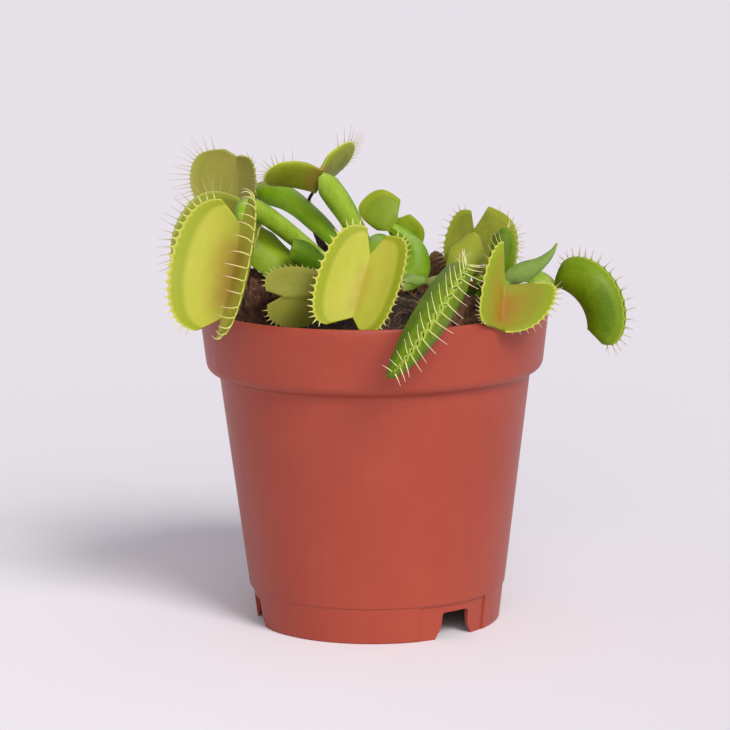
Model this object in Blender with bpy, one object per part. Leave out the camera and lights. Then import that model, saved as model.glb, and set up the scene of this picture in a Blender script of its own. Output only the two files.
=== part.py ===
"""A venus flytrap in a plastic nursery pot: pot, growing medium, two crowns and their leaves.

Places and sizes are millimetres from the pot's axis and the ground, with +X to the right, +Y to the
back and +Z up. place() moves them to the part's own origin, under the middle of the whole outline.
"""

from dataclasses import dataclass, replace
from math import cos, hypot, log, pi, radians, sin

import bmesh
import bpy
from mathutils import Matrix, Vector

MM = 0.001
POT_AXIS = Vector((-5.0, 11.0, 0.0))

# Pot
POT_HEIGHT = 78.0
LIP_RADIUS = 42.5
BAND_FOOT_RADIUS = 41.0
BAND_FOOT_Z = 64.2
NECK_RADIUS = 37.9
NECK_Z = 61.5
WALL_FOOT_RADIUS = 31.4
FOOT_STEP_Z = 9.0
FOOT_STEP = 0.3
FOOT_RADIUS = 30.0
WALL = 0.9
FOOT_WALL = 1.1
FLOOR_TOP_Z = 9.0
FLOOR_THICKNESS = 1.2
POT_STEPS = 48
LIP_TURN = 0.6
LIP_BEVEL = 0.3
LIP_FLAT = 0.7
SHOULDER_RUN = 1.0
SHOULDER_DROP = 1.2
INNER_FOOT_BEVEL = 0.8
NOTCH_AZIMUTHS = (38.5, 160.0, 281.5)
NOTCH_WIDTH = 8.0
NOTCH_HEIGHT = 6.5
NOTCH_CHAMFER = 1.2
NOTCH_DEPTH = 8.0
DRAIN_COUNT = 4
DRAIN_RADIUS = 3.0
DRAIN_CIRCLE = 16.0

# Growing medium
CLEARANCE = 0.4
SOIL_RIM_Z = 71.5
SOIL_MIDDLE_Z = 78.0
SOIL_TILT = 0.04
SOIL_RADIUS = 40.2
SOIL_WAVE = 0.7
SOIL_WAVE_X = 6.0
SOIL_WAVE_Y = 7.0
SOIL_RINGS = 6
SOIL_FOOT_BEVEL = 1.4
CLUMP_RIPPLE = 0.10
CLUMP_UNDERSIDE = 0.3

# Leaves
LOBE_THICKNESS = 0.8
PETIOLE_THICKNESS = 1.3
PETIOLE_EDGE_TOP = 0.5
PETIOLE_EDGE_UNDER = 0.3
PETIOLE_NECK = 0.28
PETIOLE_ROOT = 0.35
PETIOLE_PEAK = 0.8
PETIOLE_SWELL = 1.2
PETIOLE_CLOSE = 1.3
PETIOLE_STEPS = 10
ROUTE_NUDGE = 0.01
NECK_GAP = 1.2
NECK_BEHIND = 1.1
TRAP_STEPS = 14
LOBE_STEPS = 3


@dataclass
class Lobe:
    """One half of a trap: width, angles from the mouth at midrib and margin, and overhang past each end."""

    width: float
    first: float
    last: float
    past_base: float
    past_tip: float
    tooth: float = 3.0
    horns: tuple = (0.3, 0.3)
    widest: float = 0.5


@dataclass
class Trap:
    """A trap: two lobes hinged on a midrib. A closed one curls over along its whole length."""

    name: str
    base: tuple
    tip: tuple
    mouth: tuple
    right: Lobe
    left: Lobe
    fullness: float = 0.6
    bend: float = 0.0
    closed: bool = False
    colour: tuple = (0.42, 0.50, 0.10)


@dataclass
class Blade:
    """A petiole or a plain leaf: a ribbon along a curve, folded along its middle."""

    name: str
    route: tuple
    width: float
    face: tuple
    fold: float = 12.0
    end: float = PETIOLE_NECK
    colour: tuple = (0.16, 0.42, 0.04)
    peak: float = PETIOLE_PEAK


@dataclass
class Clump:
    """A lump that lies on the growing medium."""

    name: str
    centre: tuple
    radius: float
    height: float
    colour: tuple
    roughness: float = 0.95


TRAPS = (
    Trap("wide_left", (-31, -24, 100.5), (-35.5, -31, 79.5), (-0.7, -0.75, 0.05),
         Lobe(16.5, 74, 38, 0.28, 0.26, 4.0), Lobe(15.4, 65, 35, 0.26, 0.22, 2.0), 0.8, -15),
    Trap("far_left", (-33, 24, 100.5), (-33.6, 25, 111.2), (-0.65, -0.7, 0.2),
         Lobe(13.2, 80, 55, 0.15, 0.2, 4.0), Lobe(8.5, 85, 62, 0.05, 0.0, 2.0), 0.5),
    Trap("behind_left", (-30, -8, 100.5), (-36.5, -11, 86), (-0.6, -0.75, 0.1),
         Lobe(6.5, 85, 70, 0.12, 0.2, 2.0), Lobe(15.5, 75, 45, 0.12, 0.2, 3.5)),
    Trap("top", (-12.5, 2, 110.5), (-14.2, 7, 104.4), (-0.34, 0.47, 0.82),
         Lobe(13.5, 50, 90, 0.0, 0.1), Lobe(14.5, 60, 65, 0.25, 0.2, 3.5), 0.45),
    Trap("low_left", (-13, -20.3, 83.1), (-21.7, -24.3, 83.4), (0, 1, -0.25),
         Lobe(7.2, 75, 50, 0.12, 0.35, 1.5), Lobe(7.2, 75, 50, 0.12, 0.35, 1.5), 0.7),
    Trap("front_middle", (-0.8, -27, 93.5), (-5, -33, 79.5), (-0.15, -1, 0.1),
         Lobe(11, 75, 45, 0.32, 0.24, 1.8, (0.25, 0.28), 0.42),
         Lobe(11, 75, 55, 0.38, 0.24, 1.8, (0.2, 0.5), 0.55)),
    Trap("young_middle", (3.6, 8, 94.4), (6.0, 9, 97.4), (0, 1, 0.1),
         Lobe(10, 80, 60, 0.12, 0.75, 0.0), Lobe(9.8, 80, 60, 0.33, 1.1, 0.0), 0.5),
    Trap("drooping_front", (17.4, -34, 87.9), (3.0, -60, 70), (0.464, -0.712, 0.525),
         Lobe(13.5, 70, -56, 0.0, 0.0, 2.0, (0.45, 0.25), 0.42),
         Lobe(13.5, 70, -56, 0.0, 0.0, 2.0, (0.45, 0.25), 0.42), 0.7, closed=True),
    Trap("back_right", (24.7, 8, 94.5), (23, 4, 87), (-0.1, 1, 0.2),
         Lobe(6.6, 75, 55, 0.6, 0.2, 2.0), Lobe(15, 75, 55, 0.9, 0.5, 2.5, widest=0.46)),
    Trap("closed_right", (27, -9, 84), (29.5, -7, 95), (0.8, 0.1, 0.2),
         Lobe(6.5, 65, -45, 0.0, 0.1, 2.0, (0.45, 0.45)), Lobe(6.5, 65, -45, 0.0, 0.1, 2.0, (0.45, 0.45)),
         closed=True),
    Trap("right", (30.6, -27, 86), (29.6, -32, 76), (0.35, -0.75, 0.5),
         Lobe(12.5, 68, 50, 0.05, 0.05, 2.0, (0.55, 0.15), 0.3),
         Lobe(7.2, 75, 60, 0.9, 0.0, 2.0, (0.2, 0.75), 0.6), 0.9),
    Trap("far_right", (44, -4, 82.5), (52, -8, 72), (0.75, -0.1, 0.65),
         Lobe(11.5, 65, -42, 0.0, 0.18, 2.5, (0.4, 0.4)), Lobe(11.5, 65, -42, 0.0, 0.18, 2.5, (0.4, 0.4)),
         bend=75, closed=True),
)

# A petiole's route leaves out its last point, which its trap gives.
PETIOLES = (
    Blade("wide_left", ((-5, -2, 86.5), (-12.7, -6, 85.8), (-33, -16, 116)), 5.5, (0.3, -1, 0.4)),
    Blade("behind_left", ((-6.5, -5, 84), (-15, -8, 85), (-26.5, -8, 87)), 7.0, (0.2, -1, 0.5)),
    Blade("far_left", ((-2.6, 4.5, 85), (-10.3, 6, 93.5), (-21.3, 18, 109)), 6.5, (0.3, -1, 0.5)),
    Blade("top", ((0, 5, 83), (-0.5, 6, 90), (-6, 4, 101)), 6.0, (0.3, -1, 0.2)),
    Blade("front_middle", ((3, -4.5, 82), (4, -10, 88), (3, -18, 102)), 6.0, (0, -1, 0.5)),
    Blade("low_left", ((-2, -6.5, 81), (-5, -9, 84), (-9, -14, 86)), 5.0, (0, 0, 1)),
    Blade("young_middle", ((6.6, 3, 81.5), (9.6, 4, 82.4), (14, 6, 90)), 6.5, (0, -1, 0)),
    Blade("back_right", ((19, 0.5, 80.5), (19.5, -2, 85), (24, -1, 91)), 8.0, (0, -1, 0.3), 15),
    Blade("drooping_front", ((19, -5.5, 81), (18, -12, 86), (18, -24, 90)), 10.0, (0, 0, 1)),
    Blade("closed_right", ((24, -2.5, 81), (24.5, -5, 82), (25.3, -7.5, 81.5)), 5.0, (0, -1, 0.3)),
    Blade("right", ((22, -7, 80.5), (25, -15, 84), (30, -22, 90)), 6.0, (0, 0, 1)),
    Blade("far_right", ((26, 1, 81), (31, 0, 86), (38, -2, 88)), 6.0, (0, -0.6, 1)),
)

PLAIN_LEAVES = (
    Blade("leaf_short_left", ((-9, -8.5, 81), (-11.4, -10.5, 87), (-15, -12.5, 91.8), (-19.6, -14, 93.5)), 5.5,
          (0, -1, 0.3), end=0.75),
    Blade("leaf_horned_right", ((30.4, -13, 82.7), (33, -15, 89), (39.5, -16, 86), (43.8, -16, 94.3)), 4.6,
          (0, -1, 0.4), end=0.1, colour=(0.18, 0.38, 0.12), peak=0.45),
    Blade("leaf_small_right_1", ((19.5, -8.5, 77.5), (19.5, -10, 79.5), (20, -12, 81), (21, -14, 82)), 4.0,
          (0, -0.5, 1), end=0.3, colour=(0.05, 0.16, 0.04)),
    Blade("leaf_small_right_2", ((25.5, -8, 76.5), (27, -9, 78.5), (29, -10.5, 79.5), (31.5, -13, 78)), 4.0,
          (0, -0.5, 1), end=0.3, colour=(0.05, 0.16, 0.04)),
    Blade("leaf_pale_middle", ((14.5, -6.5, 81.5), (13.5, -9.5, 85), (11, -13, 86.5), (7, -16, 85.5)), 3.6,
          (0.3, -0.6, 1), end=0.35, colour=(0.30, 0.42, 0.18)),
)

# The dried flower stalk: place and radius of each point, from its cut stump to its thread-like end.
STALK_ROUTE = (
    ((-10.5, 13, 78), 1.7),
    ((-11.3, 14, 84.5), 1.5),
    ((-12.2, 15, 89.4), 1.3),
    ((-13.8, 16.5, 91.7), 0.7),
    ((-16, 18.5, 97.2), 0.5),
    ((-15.7, 17.5, 101), 0.45),
    ((-14.9, 15.5, 103), 0.45),
)

CROWNS = (
    Clump("crown_middle", (0, 0), 6.0, 3.8, (0.30, 0.42, 0.10), 0.6),
    Clump("crown_right", (22, 0), 5.0, 3.6, (0.30, 0.42, 0.10), 0.6),
)

CLUMPS = (
    Clump("moss_clump_left", (-28, -4), 8.5, 9.5, (0.16, 0.08, 0.04)),
    Clump("moss_clump_back", (15, 22), 7.5, 9.0, (0.18, 0.09, 0.04)),
    Clump("moss_clump_right", (24, -20), 7.5, 5.5, (0.22, 0.12, 0.06)),
)


def place(point) -> Vector:
    """A point in millimetres from the pot's axis, as metres from the part's origin."""
    return (Vector(point) + POT_AXIS) * MM


def clear_scene() -> None:
    for obj in list(bpy.data.objects):
        bpy.data.objects.remove(obj, do_unlink=True)


def make_material(name, colour, roughness):
    material = bpy.data.materials.new(name)
    material.use_nodes = True
    shader = material.node_tree.nodes["Principled BSDF"]
    shader.inputs["Base Color"].default_value = (*colour, 1.0)
    shader.inputs["Roughness"].default_value = roughness
    shader.inputs["Metallic"].default_value = 0.0
    return material


def make_object(name, bm, colour, roughness):
    """One named object from a finished bmesh, with its own material."""
    bmesh.ops.recalc_face_normals(bm, faces=bm.faces)
    mesh = bpy.data.meshes.new(name)
    bm.to_mesh(mesh)
    bm.free()
    mesh.shade_smooth()
    mesh.set_sharp_from_angle(angle=radians(40))
    mesh.materials.append(make_material(name, colour, roughness))
    obj = bpy.data.objects.new(name, mesh)
    bpy.context.scene.collection.objects.link(obj)
    return obj


# --- Pot -------------------------------------------------------------------------------------------


def pot_profile():
    """Radius and height round the section: foot, outer wall, band, lip, inner wall and floor."""
    inner_neck = NECK_RADIUS - WALL
    return (
        (0.0, FLOOR_TOP_Z - FLOOR_THICKNESS),
        (FOOT_RADIUS - FOOT_WALL, FLOOR_TOP_Z - FLOOR_THICKNESS),
        (FOOT_RADIUS - FOOT_WALL, 0.0),
        (FOOT_RADIUS, 0.0),
        (WALL_FOOT_RADIUS - FOOT_STEP, FOOT_STEP_Z - FOOT_STEP),
        (WALL_FOOT_RADIUS, FOOT_STEP_Z),
        (NECK_RADIUS, NECK_Z),
        (BAND_FOOT_RADIUS - SHOULDER_RUN, BAND_FOOT_Z - SHOULDER_DROP),
        (BAND_FOOT_RADIUS, BAND_FOOT_Z),
        (LIP_RADIUS, POT_HEIGHT - LIP_TURN),
        (LIP_RADIUS - LIP_BEVEL, POT_HEIGHT),
        (LIP_RADIUS - LIP_BEVEL - LIP_FLAT, POT_HEIGHT),
        (LIP_RADIUS - 2 * LIP_BEVEL - LIP_FLAT, POT_HEIGHT - LIP_TURN),
        (BAND_FOOT_RADIUS - WALL, BAND_FOOT_Z + LIP_TURN),
        (inner_neck, NECK_Z + LIP_TURN),
        (WALL_FOOT_RADIUS - WALL, FLOOR_TOP_Z + INNER_FOOT_BEVEL),
        (WALL_FOOT_RADIUS - WALL - INNER_FOOT_BEVEL, FLOOR_TOP_Z),
        (0.0, FLOOR_TOP_Z),
    )


def spin_profile(profile, steps):
    """A solid turned round the pot's axis from a closed section that starts and ends on it."""
    bm = bmesh.new()
    verts = [bm.verts.new(place((radius, 0, height))) for radius, height in profile]
    edges = [bm.edges.new(pair) for pair in zip(verts, verts[1:])]
    bmesh.ops.spin(
        bm,
        geom=verts + edges,
        cent=place((0, 0, 0)),
        axis=(0, 0, 1),
        angle=2 * pi,
        steps=steps,
        use_merge=True,
    )
    bmesh.ops.remove_doubles(bm, verts=bm.verts, dist=0.001 * MM)
    return bm


def make_cutter(name, bm):
    bmesh.ops.recalc_face_normals(bm, faces=bm.faces)
    mesh = bpy.data.meshes.new(name)
    bm.to_mesh(mesh)
    bm.free()
    cutter = bpy.data.objects.new(name, mesh)
    cutter.hide_render = True
    cutter.display_type = "WIRE"
    bpy.context.scene.collection.objects.link(cutter)
    return cutter


def notch_cutter(azimuth):
    """A chamfered block through the foot's wall, open at the bottom. Azimuth 0 faces -Y."""
    bm = bmesh.new()
    bmesh.ops.create_cube(bm, size=1.0)
    bmesh.ops.scale(bm, vec=Vector((NOTCH_WIDTH, NOTCH_DEPTH, 2 * NOTCH_HEIGHT)) * MM, verts=bm.verts)
    lengthwise = [e for e in bm.edges if abs((e.verts[0].co - e.verts[1].co).y) > MM]
    bmesh.ops.bevel(
        bm, geom=lengthwise, affect="EDGES", offset=NOTCH_CHAMFER * MM, segments=1, profile=0.5, material=-1
    )
    bmesh.ops.translate(bm, vec=Vector((0, -FOOT_RADIUS, 0)) * MM, verts=bm.verts)
    bmesh.ops.rotate(bm, cent=(0, 0, 0), matrix=Matrix.Rotation(radians(azimuth), 3, "Z"), verts=bm.verts)
    bmesh.ops.translate(bm, vec=place((0, 0, 0)), verts=bm.verts)
    return make_cutter(f"cut_notch_{azimuth:.0f}", bm)


def drain_cutter(index):
    """A round hole through the floor."""
    angle = 2 * pi * (index + 0.5) / DRAIN_COUNT
    bm = bmesh.new()
    bmesh.ops.create_cone(
        bm,
        cap_ends=True,
        segments=12,
        radius1=DRAIN_RADIUS * MM,
        radius2=DRAIN_RADIUS * MM,
        depth=6 * FLOOR_THICKNESS * MM,
    )
    middle = (DRAIN_CIRCLE * cos(angle), DRAIN_CIRCLE * sin(angle), FLOOR_TOP_Z)
    bmesh.ops.translate(bm, vec=place(middle), verts=bm.verts)
    return make_cutter(f"cut_drain_{index}", bm)


def make_pot():
    pot = make_object("pot", spin_profile(pot_profile(), POT_STEPS), (0.45, 0.10, 0.055), 0.45)
    cutters = [notch_cutter(azimuth) for azimuth in NOTCH_AZIMUTHS]
    cutters += [drain_cutter(index) for index in range(DRAIN_COUNT)]
    for cutter in cutters:
        cut = pot.modifiers.new(cutter.name, "BOOLEAN")
        cut.operation = "DIFFERENCE"
        cut.solver = "EXACT"
        cut.object = cutter


# --- Growing medium and what lies on it ------------------------------------------------------------


def soil_z(x, y):
    """Height of the medium's surface: a low mound with slow waves that die out at the wall."""
    inside = max(0.0, 1.0 - (hypot(x, y) / SOIL_RADIUS) ** 2)
    wave = SOIL_WAVE * sin(x / SOIL_WAVE_X + 1.0) * cos(y / SOIL_WAVE_Y)
    return SOIL_RIM_Z + (SOIL_MIDDLE_Z - SOIL_RIM_Z) * inside + wave * inside + SOIL_TILT * y


def make_growing_medium():
    rings = [SOIL_RADIUS * (1 - index / SOIL_RINGS) for index in range(SOIL_RINGS + 1)]
    profile = [
        (0.0, FLOOR_TOP_Z + CLEARANCE),
        (WALL_FOOT_RADIUS - WALL - SOIL_FOOT_BEVEL, FLOOR_TOP_Z + CLEARANCE),
        (WALL_FOOT_RADIUS - WALL - CLEARANCE, FLOOR_TOP_Z + SOIL_FOOT_BEVEL),
        (NECK_RADIUS - WALL - CLEARANCE, NECK_Z + 2 * CLEARANCE),
        (SOIL_RADIUS - 2 * CLEARANCE, BAND_FOOT_Z + SHOULDER_DROP),
    ]
    profile += [(radius, SOIL_RIM_Z) for radius in rings]
    bm = spin_profile(profile, POT_STEPS)
    for vert in bm.verts:
        local = vert.co / MM - POT_AXIS
        if local.z > SOIL_RIM_Z - 0.01:
            vert.co.z = soil_z(local.x, local.y) * MM
    make_object("growing_medium", bm, (0.09, 0.045, 0.028), 0.95)


def make_clump(clump):
    """A low cushion whose underside follows the medium at CLEARANCE."""
    bm = bmesh.new()
    bmesh.ops.create_icosphere(bm, subdivisions=2, radius=1.0)
    for vert in bm.verts:
        x = clump.centre[0] + clump.radius * vert.co.x
        y = clump.centre[1] + clump.radius * vert.co.y
        ripple = 1.0 + CLUMP_RIPPLE * sin(5 * vert.co.x + 3 * vert.co.y)
        rise = clump.height * ripple * max(0.0, vert.co.z)
        lift = CLUMP_UNDERSIDE * (1.0 + min(0.0, vert.co.z))
        vert.co = place((x, y, soil_z(x, y) + CLEARANCE + lift + rise))
    make_object(clump.name, bm, clump.colour, clump.roughness)


# --- Leaves ----------------------------------------------------------------------------------------


class TrapShape:
    """Places points of a trap. side is +1 for the lobe towards chord x mouth and -1 for the other."""

    def __init__(self, trap):
        self.trap = trap
        self.base = Vector(trap.base)
        chord = Vector(trap.tip) - self.base
        self.chord = chord.length
        self.along = chord.normalized()
        mouth = Vector(trap.mouth)
        self.mouth = (mouth - self.along * mouth.dot(self.along)).normalized()
        self.across = self.along.cross(self.mouth)
        self.bend = radians(trap.bend)
        self.length = self.chord
        if self.bend:
            self.length = self.chord * self.bend / (2 * sin(self.bend / 2))

    def lobe(self, side):
        return self.trap.right if side < 0 else self.trap.left

    def width(self, along, side):
        """The lobe's width at a share of the midrib's length, from its horns to its widest place."""
        lobe = self.lobe(side)
        horn = lobe.horns[0] + (lobe.horns[1] - lobe.horns[0]) * along
        swell = sin(pi * along ** (log(0.5) / log(lobe.widest)))
        return lobe.width * (horn + (1 - horn) * max(0.0, swell) ** self.trap.fullness)

    def point(self, along, out, side, tooth=0.0):
        """A place on the lobe at a share along the midrib and a share out to the margin."""
        lobe = self.lobe(side)
        width = self.width(along, side)
        past = lobe.past_base if along < 0.5 else lobe.past_tip
        margin = self.length * (0.5 - (0.5 + past) * cos(pi * along)) + (along - 0.5) * tooth
        forward = self.length * along * (1 - out) + margin * out
        away = width * out + tooth
        first = radians(lobe.first)
        curve = (radians(lobe.last) - first) / (width if self.trap.closed else lobe.width)
        sideways = (cos(first) - cos(first + curve * away)) / curve
        rise = (sin(first + curve * away) - sin(first)) / curve
        if self.bend:
            radius = self.length / self.bend
            turn = self.bend * (forward / self.length - 0.5)
            forward = (radius + rise) * sin(turn) + self.chord / 2
            rise = (radius + rise) * cos(turn) - radius * cos(self.bend / 2)
        return self.base + self.along * forward + self.mouth * rise + self.across * side * sideways


def make_trap(trap):
    """Both lobes as one sheet with a toothed margin, given its thickness by a modifier."""
    shape = TrapShape(trap)
    bm = bmesh.new()
    rows = []
    for step in range(TRAP_STEPS + 1):
        row = []
        for column in range(-LOBE_STEPS, LOBE_STEPS + 1):
            side = -1 if column < 0 else 1
            at_margin = abs(column) == LOBE_STEPS
            tooth = shape.lobe(side).tooth * (step % 2) if at_margin else 0.0
            row.append(bm.verts.new(place(shape.point(step / TRAP_STEPS, abs(column) / LOBE_STEPS, side, tooth))))
        rows.append(row)
    for first, second in zip(rows, rows[1:]):
        for index in range(2 * LOBE_STEPS):
            bm.faces.new((first[index], first[index + 1], second[index + 1], second[index]))
    obj = make_object(f"trap_{trap.name}", bm, trap.colour, 0.45)
    solid = obj.modifiers.new("thickness", "SOLIDIFY")
    solid.thickness = LOBE_THICKNESS * MM
    solid.offset = 0.0


def bezier(route, share):
    start, leave, arrive, end = (Vector(point) for point in route)
    rest = 1 - share
    return start * rest**3 + leave * 3 * rest**2 * share + arrive * 3 * rest * share**2 + end * share**3


def blade_width(share, blade):
    """A blade's width as a share of its widest: it swells to its peak, then closes to the end."""
    swell = PETIOLE_ROOT + (1 - PETIOLE_ROOT) * sin(min(share / blade.peak, 1.0) * pi / 2) ** PETIOLE_SWELL
    close = max(0.0, (share - blade.peak) / (1 - blade.peak))
    return swell * (1 - (1 - blade.end) * close**PETIOLE_CLOSE)


def make_blade(name, blade):
    """A folded ribbon, thickest along its middle, built section by section."""
    bm = bmesh.new()
    rings = []
    for step in range(PETIOLE_STEPS + 1):
        share = step / PETIOLE_STEPS
        middle = bezier(blade.route, share)
        before = bezier(blade.route, max(0.0, share - ROUTE_NUDGE))
        ahead = (bezier(blade.route, min(1.0, share + ROUTE_NUDGE)) - before).normalized()
        sideways = ahead.cross(Vector(blade.face)).normalized()
        face = sideways.cross(ahead)
        half = blade.width * blade_width(share, blade) / 2
        lift = half * sin(radians(blade.fold))
        reach = half * cos(radians(blade.fold))
        thick = PETIOLE_THICKNESS / 2
        corners = (
            (-reach, lift + PETIOLE_EDGE_TOP * thick),
            (0, thick),
            (reach, lift + PETIOLE_EDGE_TOP * thick),
            (reach, lift - PETIOLE_EDGE_UNDER * thick),
            (0, -thick),
            (-reach, lift - PETIOLE_EDGE_UNDER * thick),
        )
        rings.append([bm.verts.new(place(middle + sideways * x + face * z)) for x, z in corners])
    for first, second in zip(rings, rings[1:]):
        for index in range(len(first)):
            following = (index + 1) % len(first)
            bm.faces.new((first[index], first[following], second[following], second[index]))
    bm.faces.new(rings[0])
    bm.faces.new(rings[-1])
    bmesh.ops.triangulate(bm, faces=bm.faces)
    make_object(name, bm, blade.colour, 0.4)


def make_stalk():
    """A round stem that tapers along its route."""
    curve = bpy.data.curves.new("flower_stalk_dry", "CURVE")
    curve.dimensions = "3D"
    curve.bevel_depth = MM
    curve.bevel_resolution = 1
    curve.use_fill_caps = True
    curve.resolution_u = 3
    spline = curve.splines.new("NURBS")
    spline.points.add(len(STALK_ROUTE) - 1)
    spline.order_u = 3
    spline.use_endpoint_u = True
    for point, (where, radius) in zip(spline.points, STALK_ROUTE):
        point.co = (*place(where), 1.0)
        point.radius = radius
    curve.materials.append(make_material("flower_stalk_dry", (0.05, 0.025, 0.018), 0.7))
    stalk = bpy.data.objects.new("flower_stalk_dry", curve)
    bpy.context.scene.collection.objects.link(stalk)


def main():
    clear_scene()
    make_pot()
    make_growing_medium()
    for clump in CROWNS + CLUMPS:
        make_clump(clump)
    for trap in TRAPS:
        make_trap(trap)
    traps = {trap.name: TrapShape(trap) for trap in TRAPS}
    for blade in PETIOLES:
        shape = traps[blade.name]
        neck = shape.base - shape.along * NECK_GAP - shape.mouth * NECK_BEHIND
        make_blade(f"petiole_{blade.name}", replace(blade, route=(*blade.route, neck)))
    for blade in PLAIN_LEAVES:
        make_blade(blade.name, blade)
    make_stalk()


main()
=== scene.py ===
"""Visual model of a venus flytrap in a terracotta-coloured nursery pot.

Lengths in the dataclasses are millimetres from the pot's axis and the ground, with +X to the right,
+Y to the back and +Z up. to_frame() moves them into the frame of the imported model, in metres.
"""

import logging
from dataclasses import dataclass, field, replace
from enum import Enum
from math import atan2, cos, hypot, log, pi, radians, sin
from random import Random
from typing import Callable, Iterable, Sequence

import bmesh
import bpy
from mathutils import Matrix, Vector, noise


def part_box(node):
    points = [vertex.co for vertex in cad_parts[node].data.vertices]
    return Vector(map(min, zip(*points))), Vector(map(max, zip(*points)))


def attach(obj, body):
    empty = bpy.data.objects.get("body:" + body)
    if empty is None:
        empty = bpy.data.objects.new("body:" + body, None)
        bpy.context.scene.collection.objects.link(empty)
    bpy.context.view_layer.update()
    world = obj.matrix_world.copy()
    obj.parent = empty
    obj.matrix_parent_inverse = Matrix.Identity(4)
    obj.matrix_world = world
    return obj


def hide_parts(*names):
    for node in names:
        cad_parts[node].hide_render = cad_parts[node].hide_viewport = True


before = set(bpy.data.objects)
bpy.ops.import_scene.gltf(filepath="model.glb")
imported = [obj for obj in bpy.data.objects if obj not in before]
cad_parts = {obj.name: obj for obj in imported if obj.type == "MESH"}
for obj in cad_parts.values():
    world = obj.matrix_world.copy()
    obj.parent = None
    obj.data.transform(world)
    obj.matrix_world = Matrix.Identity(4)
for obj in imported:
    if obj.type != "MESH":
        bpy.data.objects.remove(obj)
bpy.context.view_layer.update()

LOG = logging.getLogger("flytrap")

MM = 0.001
MERGE = 0.002
POT_LOW, POT_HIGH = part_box("pot")
POT_AXIS = Vector(((POT_LOW.x + POT_HIGH.x) / 2, (POT_LOW.y + POT_HIGH.y) / 2, 0.0))
POT_HEIGHT = POT_HIGH.z / MM
LIP_RADIUS = (POT_HIGH.x - POT_LOW.x) / 2 / MM

Colour = tuple[float, float, float]
Point = tuple[float, float, float]
Value = "bpy.types.NodeSocket | float | Colour"


class Side(Enum):
    """Which lobe of a trap: RIGHT is the negative half of its sheet and LEFT the positive half."""

    RIGHT = -1
    LEFT = 1


class Shading(Enum):
    """How a piece's faces are shaded."""

    SMOOTH = "smooth"
    CREASED = "creased"
    FLAT = "flat"


# --- Small tools -----------------------------------------------------------------------------------


def to_frame(point: Sequence[float]) -> Vector:
    """Moves a point in millimetres from the pot's axis into the frame, in metres."""
    return Vector(point) * MM + POT_AXIS


def smoothstep(low: float, high: float, value: float) -> float:
    """A soft step from 0 at low to 1 at high."""
    share = min(1.0, max(0.0, (value - low) / (high - low)))
    return share * share * (3.0 - 2.0 * share)


def bezier(route: Sequence[Point], share: float) -> Vector:
    """The point at a share of a cubic curve's parameter.

    Args:
        route: the curve's four points.
        share: 0 at its start and 1 at its end.

    Returns:
        The point, in the units of the route.
    """
    start, leave, arrive, end = (Vector(point) for point in route)
    rest = 1.0 - share
    return start * rest**3 + leave * 3 * rest**2 * share + arrive * 3 * rest * share**2 + end * share**3


def link_new(name: str, data: bpy.types.ID) -> bpy.types.Object:
    """A new object in the scene for a mesh, a light or a camera."""
    made = bpy.data.objects.new(name, data)
    bpy.context.scene.collection.objects.link(made)
    return made


def finish_piece(
    name: str,
    bm: bmesh.types.BMesh,
    material: bpy.types.Material,
    slot: str,
    replaces: Sequence[str],
    shading: Shading = Shading.SMOOTH,
    levels: int = 0,
) -> bpy.types.Object:
    """Makes a bmesh into a piece that rides on the plant's one body.

    Args:
        name: the piece's name.
        bm: its shape in the frame, in metres; it is freed.
        material: its finish.
        slot: the record's material slot that its finish stands for, which is only logged.
        replaces: the CAD nodes that it stands for.
        shading: how its faces are shaded.
        levels: levels of subdivision surface, or 0 for none.

    Returns:
        The finished object.
    """
    mesh = bpy.data.meshes.new(name)
    bm.to_mesh(mesh)
    bm.free()
    if shading is Shading.FLAT:
        mesh.shade_flat()
    else:
        mesh.shade_smooth()
    if shading is Shading.CREASED:
        mesh.set_sharp_from_angle(angle=radians(32))
    mesh.materials.append(material)
    piece = link_new(name, mesh)
    if levels:
        subdivision = piece.modifiers.new("rounding", "SUBSURF")
        subdivision.levels = levels
        subdivision.render_levels = levels
    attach(piece, "root")
    if replaces:
        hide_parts(*replaces)
    LOG.info("%s: %d faces, slot %s", name, len(mesh.polygons), slot)
    return piece


def thicken(bm: bmesh.types.BMesh, inner: Callable, outer: Callable) -> None:
    """Turns an open sheet into a closed shell with its own thickness at each point.

    Args:
        bm: the sheet, from grid_sheet(). Its layer inside is set to 1 on the inner face.
        inner: gives the distance along the normal to the inner face, in metres, at a vertex's out.
        outer: gives the distance to the outer face in the same way.
    """
    inside, out = bm.verts.layers.float["inside"], bm.verts.layers.float["out"]
    normal = bm.verts.layers.float_vector.new("sheet_normal")
    bm.normal_update()
    for vert in bm.verts:
        vert[normal] = vert.normal
    made = bmesh.ops.extrude_face_region(bm, geom=bm.faces[:], use_keep_orig=True)
    raised = {item for item in made["geom"] if isinstance(item, bmesh.types.BMVert)}
    for vert in bm.verts:
        if vert in raised:
            vert[inside] = 1.0
            vert.co = vert.co + vert[normal] * inner(vert[out])
        else:
            vert.co = vert.co - vert[normal] * outer(vert[out])
    bm.verts.layers.float_vector.remove(normal)
    bmesh.ops.recalc_face_normals(bm, faces=bm.faces)


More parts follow.
